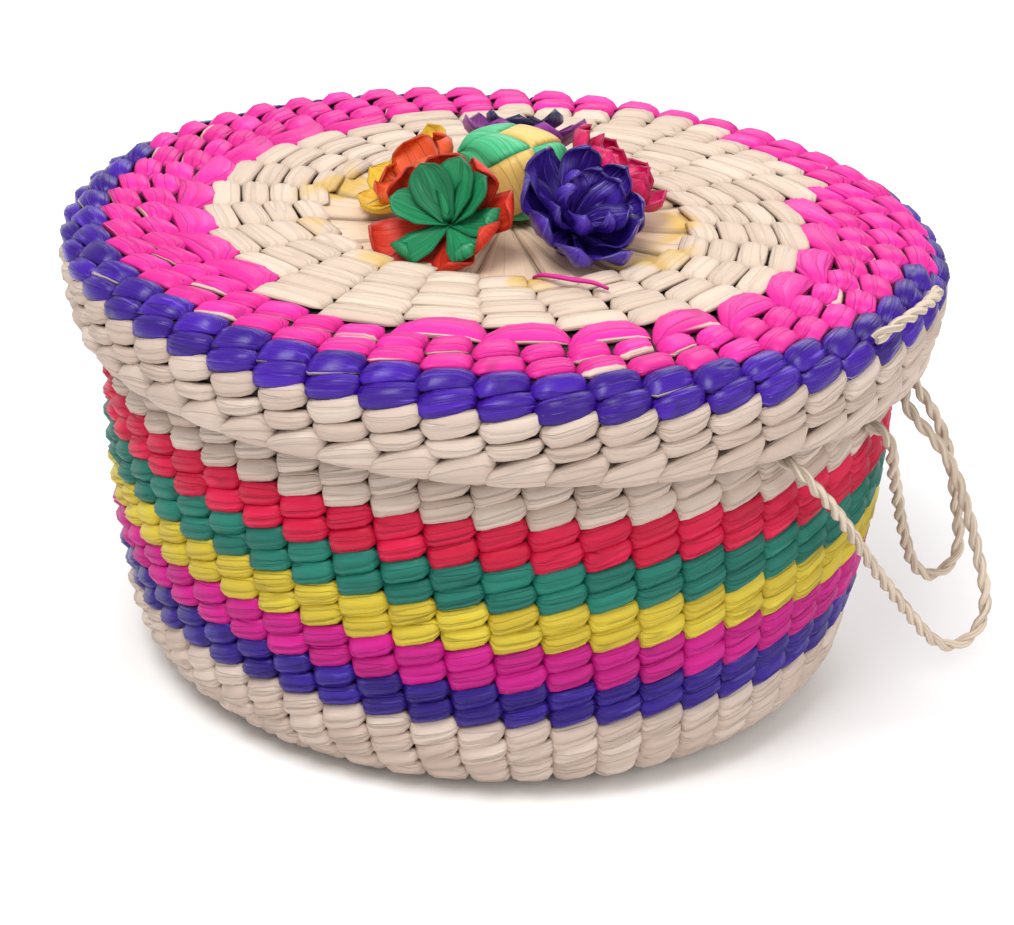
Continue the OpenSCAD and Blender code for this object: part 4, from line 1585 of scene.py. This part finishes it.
@dataclass
class Bead:
    """The woven bead in the lid's middle, quilted in two colours by the strips that cross on it."""

    palette: Palette
    centre: Point = (1.0, 3.0, 142.9)
    half: Point = (12.8, 12.8, 11.4)
    squareness: float = 4.0
    around: int = 4
    turn: float = 5.0
    tip: float = -70.0
    swing: float = 8.0
    swell: float = 1.2
    fullness: float = 0.4
    sink: float = 0.4
    depth: float = 1.6
    steps: int = 13

    def surface(self, p: float, q: float, lift: float) -> Vector:
        """Returns a point on the bead.

        Args:
            p: Place across the strips that wind one way, in strips.
            q: Place across the strips that wind the other way.
            lift: Height over the bead's plain form, in millimetres.

        Returns:
            The point, in millimetres.
        """
        turn = math.radians(self.turn) + math.pi * (p + q) / self.around
        rise = max(-math.pi / 2, min(math.pi / 2, math.pi * (p - q) / self.around))
        way = Vector((math.cos(rise) * math.cos(turn), math.cos(rise) * math.sin(turn), math.sin(rise)))
        way.rotate(Euler((0.0, math.radians(self.tip), math.radians(self.swing))))
        c = math.sqrt(0.5)
        sides = (way.x * c + way.y * c, way.y * c - way.x * c, way.z)
        reach = sum(abs(side / half) ** self.squareness for side, half in zip(sides, self.half))
        return Vector(self.centre) + way * (reach ** (-1 / self.squareness) + lift)

    def cell(self, a: float, b: float) -> bpy.types.Mesh:
        """Builds one quilted diamond, as wide as a strip both ways.

        Args:
            a: Where it starts across the strips that wind one way, in strips.
            b: Where it starts across the strips that wind the other way.

        Returns:
            The closed mesh.
        """
        upper, lower = [], []
        for i in range(self.steps + 1):
            u = i / self.steps
            line, under = [], []
            for j in range(self.steps + 1):
                v = j / self.steps
                swell = self.swell * (math.sin(math.pi * u) * math.sin(math.pi * v)) ** self.fullness
                line.append(self.surface(a + u, b + v, swell - self.sink))
                under.append(self.surface(a + u, b + v, -self.depth))
            upper.append(line)
            lower.append(under)
        return two_sided("bead_cell", upper, lower, 1.0)

    def build(self) -> None:
        """Makes the diamonds of both colours."""
        for name, slot, node, rows in (
            ("bead_mint_diamonds", "mint_strip", "woven_bead", (-1, 1, 2)),
            ("bead_cream_diamonds", "cream_strip", "bead_strips", (-2, 0)),
        ):
            shape = bmesh.new()
            for row in rows:
                for column in range(self.around):
                    middle = column if row % 2 == 0 else column + 0.5
                    cell = self.cell(middle + row / 2 - 0.5, middle - row / 2 - 0.5)
                    shape.from_mesh(cell)
                    bpy.data.meshes.remove(cell)
            bmesh.ops.remove_doubles(shape, verts=shape.verts, dist=1e-6)
            bmesh.ops.dissolve_degenerate(shape, dist=1e-6, edges=shape.edges)
            bmesh.ops.recalc_face_normals(shape, faces=shape.faces)
            mesh = bpy.data.meshes.new(name)
            shape.to_mesh(mesh)
            shape.free()
            mesh.shade_smooth()
            dress(make_object(name, mesh, self.palette[slot]), "lid", slot, node)


# ---------------------------------------------------------------------------------------------
# Tether
# ---------------------------------------------------------------------------------------------


# A ply's distance from the cord's middle and its least and greatest radius, as shares of the cord's diameter.
PLY_OFFSET = 0.22
PLY_RADIUS = (0.255, 0.285)


def smooth_route(points: Sequence[Point], steps: int = 8) -> list[Vector]:
    """Returns the points of a smooth curve through the given ones, in metres.

    Args:
        points: The route's own points, in millimetres.
        steps: How many steps there are between two of them.

    Returns:
        The given points and those between them.
    """
    given = [Vector(p) * MM for p in points]
    ends = [given[0] * 2 - given[1], *given, given[-1] * 2 - given[-2]]
    made = []
    for a, b, c, d in zip(ends, ends[1:], ends[2:], ends[3:]):
        for i in range(steps):
            t = i / steps
            bend, twist = 2 * a - 5 * b + 4 * c - d, 3 * b - a - 3 * c + d
            made.append(0.5 * (2 * b + (c - a) * t + bend * t**2 + twist * t**3))
    return [*made, given[-1]]


def twisted_cord_tree() -> bpy.types.NodeTree:
    """Builds the tree that lays two strands of palm round a line, as a closed mesh.

    Returns:
        A tree with the inputs Diameter, Pitch, Step, Seed and Material.
    """
    g, source = start_tree("twisted_cord", {"Diameter": "Float", "Pitch": "Float", "Step": "Float", "Seed": "Int"})
    line = g.add("GeometryNodeResampleCurve", {"Curve": source["Geometry"], "Length": source["Step"]}, mode="LENGTH")
    along = g.add("GeometryNodeSplineParameter").outputs["Length"]
    normal = g.add("GeometryNodeInputNormal").outputs[0]
    tangent = g.add("GeometryNodeInputTangent").outputs[0]
    line = g.store(line.outputs[0], "run", g.math("DIVIDE", along, 0.02), "FLOAT", "POINT")
    ring = g.add("GeometryNodeCurvePrimitiveCircle", {"Resolution": 8, "Radius": 1.0}).outputs[0]
    ring = g.store(ring, "round", g.add("GeometryNodeSplineParameter").outputs["Factor"], "FLOAT", "POINT")
    turn = g.math("MULTIPLY", g.math("DIVIDE", along, source["Pitch"]), 2.0 * math.pi)
    joined = g.add("GeometryNodeJoinGeometry")
    for half in (0.0, math.pi):
        side = g.add("ShaderNodeVectorRotate", {
            "Vector": normal, "Axis": tangent, "Angle": g.math("ADD", turn, half)}, rotation_type="AXIS_ANGLE")
        shift = g.vector("SCALE", {0: side.outputs[0], "Scale": g.math("MULTIPLY", source["Diameter"], PLY_OFFSET)})
        strand = g.add("GeometryNodeSetPosition", {"Geometry": line, "Offset": shift}).outputs[0]
        thick = g.math("MULTIPLY", source["Diameter"], g.scatter(*PLY_RADIUS, source["Seed"]))
        sized = g.add("GeometryNodeSetCurveRadius", {"Curve": strand, "Radius": thick}).outputs[0]
        tube = g.add("GeometryNodeCurveToMesh", {"Curve": sized, "Profile Curve": ring, "Fill Caps": True})
        if "Scale" in tube.inputs:
            g.feed(tube.inputs["Scale"], thick)
        g.feed(joined.inputs[0], tube.outputs[0])
    spread = g.add("ShaderNodeCombineXYZ", {"X": g.named("run", "FLOAT"), "Y": g.named("round", "FLOAT")}).outputs[0]
    return g.end(g.store(joined.outputs[0], "UVMap", spread, "FLOAT2", "CORNER"), source["Material"])


@dataclass
class Tether:
    """The slack two-ply cord that ties the lid to the wall."""

    palette: Palette
    diameter: float = 0.0038
    pitch: float = 0.0125
    step: float = 0.0007
    front_route: tuple[Point, ...] = (
        (74.7, -84.6, 99), (78.5, -88.2, 98), (83.5, -88, 93), (89, -84, 86), (96, -77, 75),
        (104, -69, 61.5), (112, -62, 49.5), (119, -56.5, 39.5), (125, -52.5, 32), (131, -49.5, 28.5),
        (136.5, -47.5, 30.5), (139.5, -46, 36), (139.5, -45, 43.5), (136.5, -44, 54), (132.5, -43, 66),
        (127.5, -42.2, 78), (121.5, -41.8, 87), (115.5, -41.3, 93), (111.6, -40.7, 98), (111, -40.4, 101.9))
    back_route: tuple[Point, ...] = (
        (100.8, -50.2, 95), (105, -51.8, 93.5), (108, -50, 88), (109.5, -46.5, 80.5), (112, -42, 71.5),
        (114.5, -37.5, 62), (117.5, -33.2, 52.5), (121, -29.5, 43.8), (126, -26.8, 39), (131.3, -25, 40.8),
        (134, -24, 46.5), (133.2, -23.2, 55), (130.5, -22.8, 67), (127, -23, 79), (122.5, -24.2, 88),
        (117.8, -25.9, 95), (115.2, -26.7, 98.8), (114.8, -26.8, 101.9))
    stitch_route: tuple[tuple[float, float], ...] = (
        (-37.5, 0.3), (-36, 2.7), (-33, 4.5), (-28, 5.2), (-23, 4.5), (-20, 2.7), (-18.5, 0.3))
    stitch_slope: float = 50.0
    edge_centre: tuple[float, float] = (112.0, 123.075)
    edge_size: tuple[float, float] = (13.0, 9.5)

    def strand(self, name: str, route: list[Vector], seed: int) -> bpy.types.Mesh:
        """Lays the two plies along a route.

        Args:
            name: The mesh's name.
            route: The points of the line, in metres.
            seed: The seed of the plies' unevenness.

        Returns:
            The twisted cord as a plain mesh.
        """
        curve = bpy.data.curves.new(name, "CURVE")
        curve.dimensions = "3D"
        spline = curve.splines.new("POLY")
        spline.points.add(len(route) - 1)
        for point, place in zip(spline.points, route):
            point.co = (*place, 1.0)
        holder = make_object(name, curve)
        mesh = run_nodes(holder, self.tree, {
            "Diameter": self.diameter, "Pitch": self.pitch, "Step": self.step, "Seed": seed,
            "Material": self.palette["palm_cord"]})
        bpy.data.objects.remove(holder)
        mesh.name = name
        mesh.shade_smooth()
        return mesh

    def free_stretch(self, node: str, points: tuple[Point, ...], seed: int) -> None:
        """Makes one free stretch, from the wall to the lid's rim.

        Args:
            node: The CAD node that it stands for.
            points: The route, in millimetres.
            seed: The seed of its unevenness.
        """
        route = smooth_route(points)
        obj = make_object(f"{node}_cord", self.strand(node, route, seed))
        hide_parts(node)
        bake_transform(obj)

    def stitch(self) -> None:
        """Makes the short stretch that crosses the lid's edge."""
        slope = math.radians(self.stitch_slope)
        rise = Vector((math.sin(slope) / self.edge_size[0], math.cos(slope) / self.edge_size[1])).normalized()
        foot = Vector((
            self.edge_centre[0] + self.edge_size[0] * math.sin(slope),
            self.edge_centre[1] + self.edge_size[1] * math.cos(slope)))
        points = []
        for angle, lift in self.stitch_route:
            place, turn = foot + lift * rise, math.radians(angle)
            points.append((place.x * math.cos(turn), place.x * math.sin(turn), place.y))
        route = smooth_route(points)
        obj = make_object("tether_stitch_cord", self.strand("tether_stitch", route, 3))
        dress(obj, "lid", "palm_cord", "tether_stitch")

    def build(self) -> None:
        """Makes the tether's three visible stretches."""
        self.tree = twisted_cord_tree()
        self.free_stretch("tether_front", self.front_route, 1)
        self.free_stretch("tether_back", self.back_route, 2)
        self.stitch()


def main() -> None:
    """Builds every part of the warmer in order."""
    logging.basicConfig(level=logging.INFO, format="%(message)s")
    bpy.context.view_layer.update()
    studio = Studio()
    studio.camera()
    studio.light()
    studio.floor()
    palette = Palette(FINISHES)
    Tether(palette).build()
    library = Library()
    weaver = Weaver(palette, library)
    Basket(weaver).build()
    Lid(weaver).build()
    Flowers(weaver).build()
    Bead(palette).build()
    library.clear()


if __name__ == "__main__":
    main()
